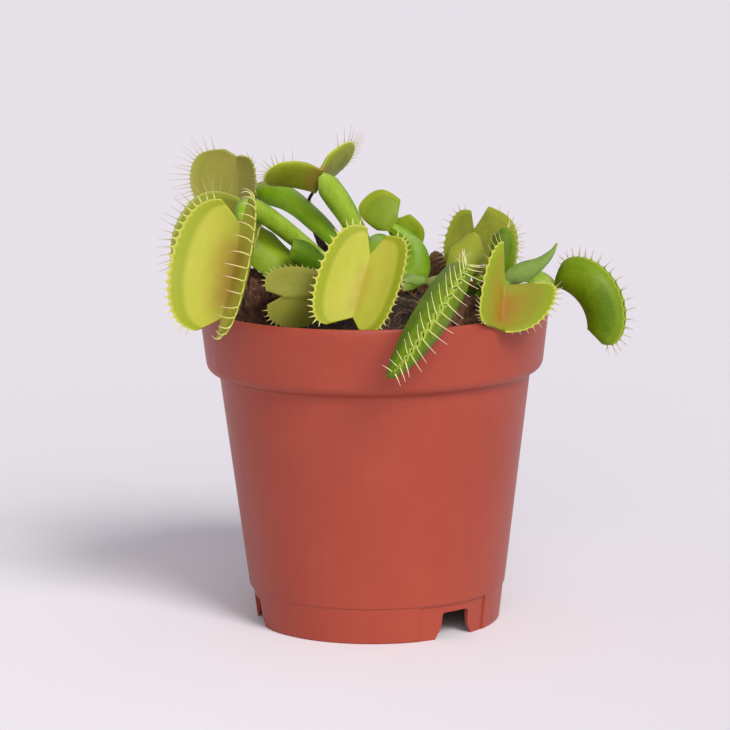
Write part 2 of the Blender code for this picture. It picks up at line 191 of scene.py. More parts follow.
def turn_outline(outline: Sequence[tuple[float, float]], steps: int, cuts: int = 0) -> bmesh.types.BMesh:
    """A closed shape turned round the pot's axis.

    Args:
        outline: radius and height of each point, with the first and the last on the axis.
        steps: segments in the turn.
        cuts: cuts across the outline's first edge.

    Returns:
        The shape, with its faces outwards.
    """
    bm = bmesh.new()
    verts = [bm.verts.new(to_frame((radius, 0.0, height))) for radius, height in outline]
    edges = [bm.edges.new(pair) for pair in zip(verts, verts[1:])]
    if cuts:
        bmesh.ops.subdivide_edges(bm, edges=edges[:1], cuts=cuts)
    bmesh.ops.spin(
        bm,
        geom=[*bm.verts, *bm.edges],
        cent=POT_AXIS,
        axis=(0, 0, 1),
        angle=2 * pi,
        steps=steps,
        use_merge=True,
    )
    bmesh.ops.remove_doubles(bm, verts=bm.verts, dist=MERGE * MM)
    bmesh.ops.recalc_face_normals(bm, faces=bm.faces)
    return bm


def grid_sheet(columns: int, rows: int, placed: Callable) -> bmesh.types.BMesh:
    """A sheet of square cells with the vertex layers out, along and inside.

    Args:
        columns: cells across it.
        rows: cells along it.
        placed: takes a vertex's two places from -1 to 1 and gives its out, its along and its point.

    Returns:
        The sheet.
    """
    bm = bmesh.new()
    layers = {name: bm.verts.layers.float.new(name) for name in ("out", "along", "inside")}
    bmesh.ops.create_grid(bm, x_segments=columns, y_segments=rows, size=1.0)
    for vert in bm.verts:
        vert[layers["out"]], vert[layers["along"]], point = placed(vert.co.x, vert.co.y)
        vert.co = to_frame(point)
    return bm


# --- Node graphs -----------------------------------------------------------------------------------


class Graph:
    """Short calls that add nodes to a material or a node group and join them."""

    def __init__(self, tree: bpy.types.NodeTree) -> None:
        """Keeps the tree that the nodes go into."""
        self.tree = tree

    def node(self, kind: str, **settings: object) -> bpy.types.Node:
        """Adds a node of a kind and sets its properties."""
        made = self.tree.nodes.new(kind)
        for key, value in settings.items():
            setattr(made, key, value)
        return made

    def put(self, socket: bpy.types.NodeSocket, value: Value) -> None:
        """Links a socket to a value's socket, or sets its default."""
        if isinstance(value, bpy.types.NodeSocket):
            self.tree.links.new(value, socket)
        elif isinstance(value, tuple) and len(value) == 3 and socket.type == "RGBA":
            socket.default_value = (*value, 1.0)
        else:
            socket.default_value = value

    def math(self, operation: str, first: Value, second: Value = 0.0) -> bpy.types.NodeSocket:
        """A Math node's result, not clamped."""
        made = self.node("ShaderNodeMath", operation=operation)
        self.put(made.inputs[0], first)
        self.put(made.inputs[1], second)
        return made.outputs[0]

    def times(self, first: Value, second: Value) -> bpy.types.NodeSocket:
        """The product of two numbers."""
        return self.math("MULTIPLY", first, second)

    def rest(self, share: Value) -> bpy.types.NodeSocket:
        """What a share leaves of 1."""
        return self.math("SUBTRACT", 1.0, share)

    def step(self, value: Value, low: Value, high: Value, top: float = 1.0) -> bpy.types.NodeSocket:
        """A soft step of a value from 0 at low to top at high."""
        made = self.node("ShaderNodeMapRange", interpolation_type="SMOOTHSTEP")
        for key, given in (("Value", value), ("From Min", low), ("From Max", high), ("To Max", top)):
            self.put(made.inputs[key], given)
        return made.outputs[0]

    def mix(self, share: Value, first: Value, second: Value) -> bpy.types.NodeSocket:
        """Mixes two colours by a share."""
        made = self.node("ShaderNodeMix", data_type="RGBA")
        self.put(made.inputs[0], share)
        self.put(made.inputs[6], first)
        self.put(made.inputs[7], second)
        return made.outputs[2]

    def blend(self, share: Value, first: Value, second: Value) -> bpy.types.NodeSocket:
        """Mixes two numbers by a share."""
        made = self.node("ShaderNodeMix", data_type="FLOAT")
        self.put(made.inputs[0], share)
        self.put(made.inputs[2], first)
        self.put(made.inputs[3], second)
        return made.outputs[0]

    def attribute(self, name: str) -> bpy.types.NodeSocket:
        """A named attribute of the mesh as a number."""
        return self.node("ShaderNodeAttribute", attribute_name=name).outputs["Fac"]

    def place(self) -> bpy.types.NodeSocket:
        """The point in the piece's own coordinates, in metres."""
        return self.node("ShaderNodeTexCoord").outputs["Object"]

    def noise(
        self, vector: Value, scale: Value, detail: float = 3.0, rough: float = 0.5
    ) -> bpy.types.NodeSocket:
        """Noise between 0 and 1."""
        made = self.node("ShaderNodeTexNoise")
        for key, given in (("Vector", vector), ("Scale", scale), ("Detail", detail), ("Roughness", rough)):
            self.put(made.inputs[key], given)
        return made.outputs["Fac"]

    def group(self, tree: bpy.types.NodeTree, **inputs: Value) -> bpy.types.Node:
        """Places a shared group with its inputs set; an underscore in a name stands for a space."""
        made = self.node("ShaderNodeGroup", node_tree=tree)
        for key, given in inputs.items():
            self.put(made.inputs[key.replace("_", " ")], given)
        return made

    def bump(self, height: Value, strength: float, distance: float) -> bpy.types.NodeSocket:
        """A Bump node's normal. Distance is in metres."""
        made = self.node("ShaderNodeBump")
        self.put(made.inputs["Height"], height)
        self.put(made.inputs["Strength"], strength)
        self.put(made.inputs["Distance"], distance)
        return made.outputs["Normal"]


def new_group(name: str, inputs: Iterable[tuple[str, float]], outputs: Iterable[str]) -> tuple:
    """Starts a shader node group of numbers.

    Args:
        name: the group's name.
        inputs: each input's name and default.
        outputs: each output's name.

    Returns:
        The group's tree, a Graph on it, its input node and its output node.
    """
    tree = bpy.data.node_groups.new(name, "ShaderNodeTree")
    for label, default in inputs:
        socket = tree.interface.new_socket(name=label, in_out="INPUT", socket_type="NodeSocketFloat")
        socket.default_value = default
    for label in outputs:
        tree.interface.new_socket(name=label, in_out="OUTPUT", socket_type="NodeSocketFloat")
    graph = Graph(tree)
    return tree, graph, graph.node("NodeGroupInput"), graph.node("NodeGroupOutput")


class Effects:
    """The shader node groups that more than one finish uses, each built once."""

    def __init__(self) -> None:
        """Builds the groups."""
        self.patches = self.build_patches()
        self.skin = self.build_skin()
        self.veins = self.build_veins()

    def build_patches(self) -> bpy.types.NodeTree:
        """Large soft patches broken up by small ones, as a mask."""
        tree, graph, given, result = new_group("patches", (("Scale", 100.0), ("Break", 0.4)), ("Mask",))
        place = graph.place()
        large = graph.noise(place, given.outputs["Scale"], 2.0)
        small = graph.noise(place, graph.times(given.outputs["Scale"], 6.0), 3.0, 0.6)
        mixed = graph.blend(given.outputs["Break"], large, small)
        graph.put(result.inputs["Mask"], graph.step(mixed, 0.35, 0.65))
        return tree

    def build_skin(self) -> bpy.types.NodeTree:
        """Rounded cells and a finer grain, as a height."""
        tree, graph, given, result = new_group("skin", (("Scale", 900.0), ("Grain", 0.35)), ("Height",))
        place = graph.place()
        cells = graph.node("ShaderNodeTexVoronoi", feature="SMOOTH_F1")
        graph.put(cells.inputs["Vector"], place)
        graph.put(cells.inputs["Scale"], given.outputs["Scale"])
        fine = graph.noise(place, graph.times(given.outputs["Scale"], 2.5), 2.0)
        height = graph.blend(given.outputs["Grain"], cells.outputs["Distance"], fine)
        graph.put(result.inputs["Height"], height)
        return tree

    def build_veins(self) -> bpy.types.NodeTree:
        """Fine lines that run across a share from 0 to 1, wavering a little, as a mask."""
        inputs = (("Share", 0.0), ("Count", 30.0), ("Waver", 0.02))
        tree, graph, given, result = new_group("veins", inputs, ("Mask",))
        waver = graph.noise(graph.place(), 350.0, 2.0)
        moved = graph.math("ADD", given.outputs["Share"], graph.times(waver, given.outputs["Waver"]))
        turns = graph.times(moved, graph.times(given.outputs["Count"], 2 * pi))
        wave = graph.math("SINE", turns)
        graph.put(result.inputs["Mask"], graph.step(wave, 0.1, 1.0))
        return tree


@dataclass(frozen=True)
class LobeFinish:
    """A trap's two faces. Colours are linear."""

    name: str
    slot: str
    inside: Colour = (0.37, 0.36, 0.042)
    band: Colour = (0.242, 0.275, 0.013)
    rim: Colour = (0.44, 0.42, 0.070)
    flush: Colour = (0.26, 0.10, 0.02)
    flush_reach: float = 0.35
    flush_strength: float = 0.6
    outside: Colour = (0.20, 0.24, 0.03)
    outside_dark: Colour = (0.12, 0.17, 0.015)
    roughness: float = 0.42
    back_flush: float = 0.0

    def build(self, effects: Effects) -> bpy.types.Material:
        """Builds the material.

        Args:
            effects: the shared groups.

        Returns:
            The material, which reads the attributes out, along and inside.
        """
        material, graph, shader = new_material(self.name)
        out, along, inside = (graph.attribute(name) for name in ("out", "along", "inside"))
        patches = graph.group(effects.patches, Scale=110.0, Break=0.35).outputs["Mask"]
        lines = graph.group(effects.veins, Share=along, Count=34.0, Waver=0.03).outputs["Mask"]
        relief = graph.group(effects.skin, Scale=1500.0, Grain=0.3).outputs["Height"]
        specks = graph.step(graph.noise(graph.place(), 1900.0, 1.0), 0.60, 0.72)

        deeper = scaled(self.inside, (0.80, 0.92, 0.65))
        pad = graph.mix(graph.times(patches, 0.45), self.inside, deeper)
        reach = graph.rest(graph.step(out, 0.02, self.flush_reach))
        window = graph.times(graph.step(along, 0.1, 0.35), graph.rest(graph.step(along, 0.75, 0.98)))
        spread = graph.times(graph.times(reach, window), graph.blend(0.35, 1.0, patches))
        pad = graph.mix(graph.times(spread, self.flush_strength), pad, self.flush)
        pad = graph.mix(graph.times(specks, 0.30), pad, scaled(self.inside, (0.78, 0.80, 0.6)))
        groove = graph.times(graph.step(out, 0.70, 0.79), graph.rest(graph.step(out, 0.80, 0.90)))
        banded = graph.mix(graph.step(out, 0.74, 0.84), pad, self.band)
        banded = graph.mix(graph.times(groove, 0.30), banded, scaled(self.band, (0.75, 0.85, 0.6)))

        back = graph.mix(patches, self.outside, self.outside_dark)
        back = graph.mix(graph.times(lines, 0.09), back, scaled(self.outside, (1.5, 1.4, 1.5)))
        back = graph.mix(graph.times(specks, 0.25), back, scaled(self.outside, (0.7, 0.8, 0.6)))
        back = graph.mix(graph.step(out, 0.72, 0.86, 0.55), back, self.band)
        back = graph.mix(graph.times(reach, self.back_flush), back, self.flush)
        midrib = graph.rest(graph.step(out, 0.02, 0.12))
        back = graph.mix(graph.times(midrib, 0.5), back, self.outside_dark)

        colour = graph.mix(inside, back, banded)
        colour = graph.mix(graph.step(out, 0.93, 1.0), colour, self.rim)
        height = graph.math("ADD", relief, graph.times(lines, 0.18))
        graph.put(shader.inputs["Base Color"], colour)
        graph.put(shader.inputs["Roughness"], graph.blend(patches, self.roughness, self.roughness + 0.12))
        graph.put(shader.inputs["Normal"], graph.bump(height, 0.20, 0.00012))
        set_inputs(
            shader,
            Specular_IOR_Level=0.13,
            Subsurface_Weight=0.22,
            Subsurface_Radius=(1.0, 0.9, 0.25),
            Subsurface_Scale=0.0012,
        )
        return material


@dataclass(frozen=True)
class BladeFinish:
    """A petiole or leaf blade: waxy, with a paler middle and faint blotches."""

    name: str
    slot: str
    colour: Colour = (0.13, 0.25, 0.010)
    pale: Colour = (0.30, 0.40, 0.045)
    dark: Colour = (0.055, 0.15, 0.006)
    roughness: float = 0.28
    root: Colour = (0.42, 0.46, 0.16)

    def build(self, effects: Effects) -> bpy.types.Material:
        """Builds the material.

        Args:
            effects: the shared groups.

        Returns:
            The material, which reads the attributes out, along and inside.
        """
        material, graph, shader = new_material(self.name)
        out, along = graph.attribute("out"), graph.attribute("along")
        patches = graph.group(effects.patches, Scale=230.0, Break=0.45).outputs["Mask"]
        lines = graph.group(effects.veins, Share=out, Count=6.0, Waver=0.08).outputs["Mask"]
        relief = graph.group(effects.skin, Scale=1100.0, Grain=0.4).outputs["Height"]
        colour = graph.mix(graph.step(out, 0.35, 1.0), self.colour, self.dark)
        colour = graph.mix(graph.times(patches, 0.45), colour, self.pale)
        colour = graph.mix(graph.times(lines, 0.14), colour, self.pale)
        colour = graph.mix(graph.step(along, 0.86, 1.0, 0.6), colour, self.pale)
        root = graph.math("SUBTRACT", 0.7, graph.step(along, 0.0, 0.22, 0.7))
        colour = graph.mix(root, colour, self.root)
        height = graph.math("ADD", relief, graph.times(lines, 0.3))
        graph.put(shader.inputs["Base Color"], colour)
        graph.put(shader.inputs["Roughness"], graph.blend(patches, self.roughness, self.roughness + 0.16))
        graph.put(shader.inputs["Normal"], graph.bump(height, 0.35, 0.00012))
        set_inputs(
            shader,
            Specular_IOR_Level=0.15,
            Coat_Weight=0.03,
            Coat_Roughness=0.2,
            Subsurface_Weight=0.12,
            Subsurface_Radius=(0.6, 1.0, 0.2),
            Subsurface_Scale=0.001,
        )
        return material


@dataclass(frozen=True)
class CiliaFinish:
    """Marginal cilia: the lobe's colour at the foot, turning to a tinted tip."""

    name: str
    slot: str
    foot: Colour = (0.50, 0.52, 0.13)
    tip: Colour = (0.62, 0.38, 0.30)

    def build(self, effects: Effects) -> bpy.types.Material:
        """Builds the material, which reads the attribute along; effects gives its shared groups."""
        material, graph, shader = new_material(self.name)
        along = graph.attribute("along")
        patches = graph.group(effects.patches, Scale=500.0, Break=0.3).outputs["Mask"]
        colour = graph.mix(graph.step(along, 0.35, 0.95), self.foot, self.tip)
        lighter = scaled(self.foot, (1.25, 1.25, 1.3))
        colour = graph.mix(graph.times(patches, 0.25), colour, lighter)
        graph.put(shader.inputs["Base Color"], colour)
        graph.put(shader.inputs["Roughness"], graph.blend(patches, 0.38, 0.5))
        set_inputs(
            shader,
            Subsurface_Weight=0.3,
            Subsurface_Scale=0.0006,
        )
        return material


@dataclass(frozen=True)
class PlasticFinish:
    """Injection-moulded polypropylene with a satin skin."""

    name: str = "terracotta_plastic"
    colour: Colour = (0.275, 0.041, 0.022)
    pale: Colour = (0.31, 0.052, 0.029)
    roughness: float = 0.40

    def build(self, effects: Effects) -> bpy.types.Material:
        """Builds the material; effects gives its shared groups."""
        material, graph, shader = new_material(self.name)
        place = graph.place()
        patches = graph.group(effects.patches, Scale=38.0, Break=0.25).outputs["Mask"]
        streaks = graph.node("ShaderNodeMapping")
        graph.put(streaks.inputs["Vector"], place)
        streaks.inputs["Scale"].default_value = (1.0, 1.0, 0.06)
        flow = graph.noise(streaks.outputs["Vector"], 420.0, 4.0, 0.6)
        grain = graph.group(effects.skin, Scale=2600.0, Grain=0.6).outputs["Height"]
        specks = graph.step(graph.noise(place, 950.0, 2.0), 0.70, 0.78)
        colour = graph.mix(graph.times(patches, 0.5), self.colour, self.pale)
        colour = graph.mix(graph.step(flow, 0.45, 0.75, 0.25), colour, self.pale)
        colour = graph.mix(graph.times(specks, 0.18), colour, (0.42, 0.13, 0.10))
        height = graph.math("ADD", graph.times(grain, 0.5), graph.times(flow, 0.5))
        graph.put(shader.inputs["Base Color"], colour)
        graph.put(shader.inputs["Roughness"], graph.blend(flow, self.roughness - 0.05, self.roughness + 0.10))
        graph.put(shader.inputs["Normal"], graph.bump(height, 0.16, 0.00012))
        set_inputs(shader, Specular_IOR_Level=0.30)
        return material


@dataclass(frozen=True)
class CrumblyFinish:
    """Peat, moss, bark and dead stems: matt, uneven and broken by darker hollows."""

    name: str
    colour: Colour
    pale: Colour
    dark: Colour
    scale: float = 420.0
    relief: float = 0.0006

    def build(self, effects: Effects) -> bpy.types.Material:
        """Builds the material; effects gives its shared groups."""
        material, graph, shader = new_material(self.name)
        place = graph.place()
        patches = graph.group(effects.patches, Scale=self.scale, Break=0.5).outputs["Mask"]
        crumbs = graph.noise(place, self.scale * 3.0, 6.0, 0.65)
        colour = graph.mix(patches, self.colour, self.dark)
        colour = graph.mix(graph.step(crumbs, 0.55, 0.72), colour, self.pale)
        graph.put(shader.inputs["Base Color"], colour)
        graph.put(shader.inputs["Roughness"], graph.blend(patches, 0.95, 0.72))
        graph.put(shader.inputs["Normal"], graph.bump(crumbs, 0.9, self.relief))
        return material


def set_inputs(shader: bpy.types.Node, **values: object) -> None:
    """Sets a shader's constants; an underscore in a name stands for a space."""
    for key, value in values.items():
        shader.inputs[key.replace("_", " ")].default_value = value


def scaled(colour: Colour, factors: Colour) -> Colour:
    """A colour with each channel multiplied."""
    return (colour[0] * factors[0], colour[1] * factors[1], colour[2] * factors[2])


def new_material(name: str) -> tuple[bpy.types.Material, Graph, bpy.types.Node]:
    """A new node material, a Graph on it and its Principled shader."""
    material = bpy.data.materials.new(name)
    material.use_nodes = True
    return material, Graph(material.node_tree), material.node_tree.nodes["Principled BSDF"]


# --- Pot -------------------------------------------------------------------------------------------


@dataclass
class Pot:
    """The nursery pot: a notched foot, a tapered wall and a deep rim band with a rolled lip."""

    lip_radius: float = LIP_RADIUS
    height: float = POT_HEIGHT
    band_foot_radius: float = 41.0
    band_foot_z: float = 64.2
    neck_radius: float = 37.9
    wall_foot_radius: float = 31.4
    foot_step_z: float = 9.0
    foot_radius: float = 30.0
    wall: float = 0.9
    floor_top_z: float = 9.0
    floor_thickness: float = 1.2
    steps: int = 192
    notch_azimuths: tuple[float, ...] = (38.5, 160.0, 281.5)
    panel_half_angle: float = 19.0
    panel_depth: float = 0.45
    drain_circle: float = 16.0
    drain_radius: float = 3.0
    drains: int = 4
    finish: PlasticFinish = field(default_factory=PlasticFinish)

    def section(self) -> list[tuple[float, float]]:
        """The wall's section from the middle of the floor's underside round to the middle of its top.

        Returns:
            Radius and height of each point, with the corners rounded.
        """
        lip = self.lip_radius
        corners = (
            (0.0, self.floor_top_z - self.floor_thickness, 0.0),
            (self.foot_radius - 1.0, self.floor_top_z - self.floor_thickness, 0.3),
            (self.foot_radius - 1.1, 0.0, 0.25),
            (self.foot_radius, 0.0, 0.45),
            (self.wall_foot_radius - 0.35, self.foot_step_z - 0.35, 0.15),
            (self.wall_foot_radius, self.foot_step_z, 0.25),
            (self.neck_radius, self.band_foot_z - 3.0, 0.6),
            (self.band_foot_radius - 0.1, self.band_foot_z - 1.5, 1.6),
            (lip - 0.05, self.height - 1.9, 0.3),
            (lip, self.height, 0.62),
            (lip - 1.35, self.height, 0.62),
            (lip - 1.6, self.height - 2.2, 0.3),
            (self.band_foot_radius - self.wall - 0.1, self.band_foot_z, 1.2),
            (self.neck_radius - self.wall, self.band_foot_z - 2.6, 0.8),
            (self.wall_foot_radius - self.wall, self.floor_top_z, 0.8),
            (0.0, self.floor_top_z, 0.0),
        )
        return rounded_outline(corners)

    def build(self, effects: Effects) -> bpy.types.Object:
        """Turns the section, cuts the foot and dresses the pot.

        Args:
            effects: the shared shader groups.

        Returns:
            The pot.
        """
        bm = turn_outline(self.section(), self.steps)
        cutters = [self.panel_cutter(azimuth) for azimuth in self.notch_azimuths]
        cutters += [self.notch_cutter(azimuth) for azimuth in self.notch_azimuths]
        cutters += [self.drain_cutter(index) for index in range(self.drains)]
        cut = subtract(bm, cutters)
        finish = self.finish.build(effects)
        return finish_piece("pot_shell", cut, finish, "pot_plastic", ["pot"], Shading.CREASED)

    def panel_cutter(self, azimuth: float) -> bmesh.types.BMesh:
        """The thin curved block that recesses the foot's wall on both sides of a notch."""
        top = self.foot_step_z - 0.45
        taper = (self.wall_foot_radius - 0.35 - self.foot_radius) / self.foot_step_z
        bm = bmesh.new()
        corners = (
            (self.foot_radius - self.panel_depth - taper, -1.0),
            (self.foot_radius + 3.0, -1.0),
            (self.foot_radius + 3.0, top),
            (self.foot_radius - self.panel_depth + taper * top, top),
        )
        face = bm.faces.new([bm.verts.new(to_frame((0.0, -radius, height))) for radius, height in corners])
        start = Matrix.Rotation(radians(azimuth - self.panel_half_angle), 3, "Z")
        bmesh.ops.rotate(bm, cent=POT_AXIS, matrix=start, verts=bm.verts)
        bmesh.ops.spin(
            bm,
            geom=[*bm.verts, *bm.edges, face],
            cent=POT_AXIS,
            axis=(0, 0, 1),
            angle=radians(2 * self.panel_half_angle),
            steps=16,
        )
        return bm

    def notch_cutter(self, azimuth: float) -> bmesh.types.BMesh:
        """The notch through the foot's wall, wider at the ground, as a block across the wall."""
        right = ((5.9, -1.0), (5.3, 0.7), (4.5, 2.0), (4.1, 3.4), (3.9, 6.1), (3.4, 6.6))
        outline = [*right, *((-x, z) for x, z in reversed(right))]
        bm = bmesh.new()
        outer = -(self.foot_radius + 4.0)
        face = bm.faces.new([bm.verts.new(to_frame((x, outer, z))) for x, z in outline])
        made = bmesh.ops.extrude_face_region(bm, geom=[face], use_keep_orig=True)
        moved = [item for item in made["geom"] if isinstance(item, bmesh.types.BMVert)]
        bmesh.ops.translate(bm, vec=Vector((0.0, 9.0, 0.0)) * MM, verts=moved)
        bmesh.ops.rotate(bm, cent=POT_AXIS, matrix=Matrix.Rotation(radians(azimuth), 3, "Z"), verts=bm.verts)
        return bm

    def drain_cutter(self, index: int) -> bmesh.types.BMesh:
        """A round hole through the floor."""
        angle = 2 * pi * (index + 0.5) / self.drains
        middle = (self.drain_circle * cos(angle), self.drain_circle * sin(angle), self.floor_top_z)
        bm = bmesh.new()
        bmesh.ops.create_cone(
            bm,
            cap_ends=True,
            segments=32,
            radius1=self.drain_radius * MM,
            radius2=self.drain_radius * MM,
            depth=6 * self.floor_thickness * MM,
        )
        bmesh.ops.translate(bm, vec=to_frame(middle), verts=bm.verts)
        return bm


def rounded_outline(
    corners: Sequence[tuple[float, float, float]], steps: int = 5
) -> list[tuple[float, float]]:
    """An outline with each corner cut back by its own length and rounded.

    Args:
        corners: radius, height and cut-back of each corner; 0 leaves it sharp.
        steps: segments in each rounding.

    Returns:
        The radius and height of each point.
    """
    points = []
    for index, (radius, height, cut) in enumerate(corners):
        corner = Vector((radius, height))
        if cut == 0.0:
            points.append((radius, height))
            continue
        before = Vector(corners[index - 1][:2]) - corner
        after = Vector(corners[index + 1][:2]) - corner
        start = corner + before.normalized() * min(cut, 0.48 * before.length)
        end = corner + after.normalized() * min(cut, 0.48 * after.length)
        for step in range(steps + 1):
            share = step / steps
            point = start * (1 - share) ** 2 + corner * 2 * share * (1 - share) + end * share**2
            points.append((point.x, point.y))
    return points


def subtract(bm: bmesh.types.BMesh, cutters: Sequence[bmesh.types.BMesh]) -> bmesh.types.BMesh:
    """Cuts closed shapes out of a closed shape.

    Args:
        bm: the shape; it is freed.
        cutters: the shapes to cut away; they are freed.

    Returns:
        What is left, as a new bmesh.
    """
    helpers = []
    for index, shape in enumerate([bm, *cutters]):
        bmesh.ops.recalc_face_normals(shape, faces=shape.faces)
        mesh = bpy.data.meshes.new(f"helper_{index}")
        shape.to_mesh(mesh)
        shape.free()
        helpers.append(link_new(mesh.name, mesh))
    body = helpers[0]
    for helper in helpers[1:]:
        cut = body.modifiers.new(helper.name, "BOOLEAN")
        cut.operation = "DIFFERENCE"
        cut.solver = "EXACT"
        cut.object = helper
    graph = bpy.context.evaluated_depsgraph_get()
    evaluated = body.evaluated_get(graph)
    result = bmesh.new()
    result.from_mesh(evaluated.to_mesh())
    evaluated.to_mesh_clear()
    for helper in helpers:
        bpy.data.meshes.remove(helper.data)
    return result


# --- Growing medium --------------------------------------------------------------------------------


def crumble(point: Vector, size: float) -> float:
    """Lumps of about a size, in millimetres, as a height from -1 to 1."""
    return noise.fractal(point / size, 0.9, 2.1, 4, noise_basis="PERLIN_ORIGINAL")


def add_strand(
    bm: bmesh.types.BMesh,
    template: bpy.types.Mesh,
    points: Sequence[Vector],
    radius: Callable[[float], float],
    side: Vector,
) -> None:
    """Adds a round tapered strand along a path.

    Args:
        bm: the bmesh that it joins, with the vertex layer along.
        template: a unit strand from strand_template().
        points: the path in millimetres, one point for each ring of the template.
        radius: the strand's radius in millimetres at a share of its length.
        side: a direction across the path, which need not be exact.
    """
    along = bm.verts.layers.float["along"]
    first = len(bm.verts)
    bm.from_mesh(template)
    bm.verts.ensure_lookup_table()
    last = len(points) - 1
    for vert in bm.verts[first:]:
        share = vert.co.z
        index = round(share * last)
        ahead = (points[min(index + 1, last)] - points[max(index - 1, 0)]).normalized()
        across = (side - ahead * side.dot(ahead)).normalized()
        up = ahead.cross(across)
        reach = radius(share)
        vert.co = to_frame(points[index] + (across * vert.co.x + up * vert.co.y) * reach)
        vert[along] = share


def strand_template(name: str, sides: int, rings: int) -> bpy.types.Mesh:
    """A closed prism of unit radius from 0 to 1 along Z, with a ring of vertices at each step.

    Args:
        name: the mesh's name.
        sides: its sides.
        rings: the segments along it.

    Returns:
        The mesh, which no object uses.
    """
    bm = bmesh.new()
    bmesh.ops.create_cone(bm, cap_ends=True, segments=sides, radius1=1.0, radius2=1.0, depth=1.0)
    upright = [edge for edge in bm.edges if abs(edge.verts[0].co.z - edge.verts[1].co.z) > 0.5]
    bmesh.ops.subdivide_edges(bm, edges=upright, cuts=rings - 1, use_grid_fill=True)
    bmesh.ops.translate(bm, vec=(0.0, 0.0, 0.5), verts=bm.verts)
    mesh = bpy.data.meshes.new(name)
    bm.to_mesh(mesh)
    bm.free()
    return mesh


def taper(radius: float, loss: float, power: float = 1.0) -> Callable:
    """A strand's radius at a share of its length, with the given share of it lost at the end."""
    return lambda share: radius * (1.0 - loss * share**power)


def curl_path(
    start: Vector, heading: Vector, towards: Vector, length: float, curl: float, steps: int
) -> list[Vector]:
    """A path that leaves along a heading and turns evenly towards another direction.

    Args:
        start: its first point.
        heading: its first direction, of unit length.
        towards: the direction that it turns towards, square to the heading.
        length: its length.
        curl: the angle that it turns through, in degrees.
        steps: its segments.

    Returns:
        The points of the path.
    """
    points = [start.copy()]
    for step in range(steps):
        turn = radians(curl) * (step + 0.5) / steps
        points.append(points[-1] + (heading * cos(turn) + towards * sin(turn)) * (length / steps))
    return points


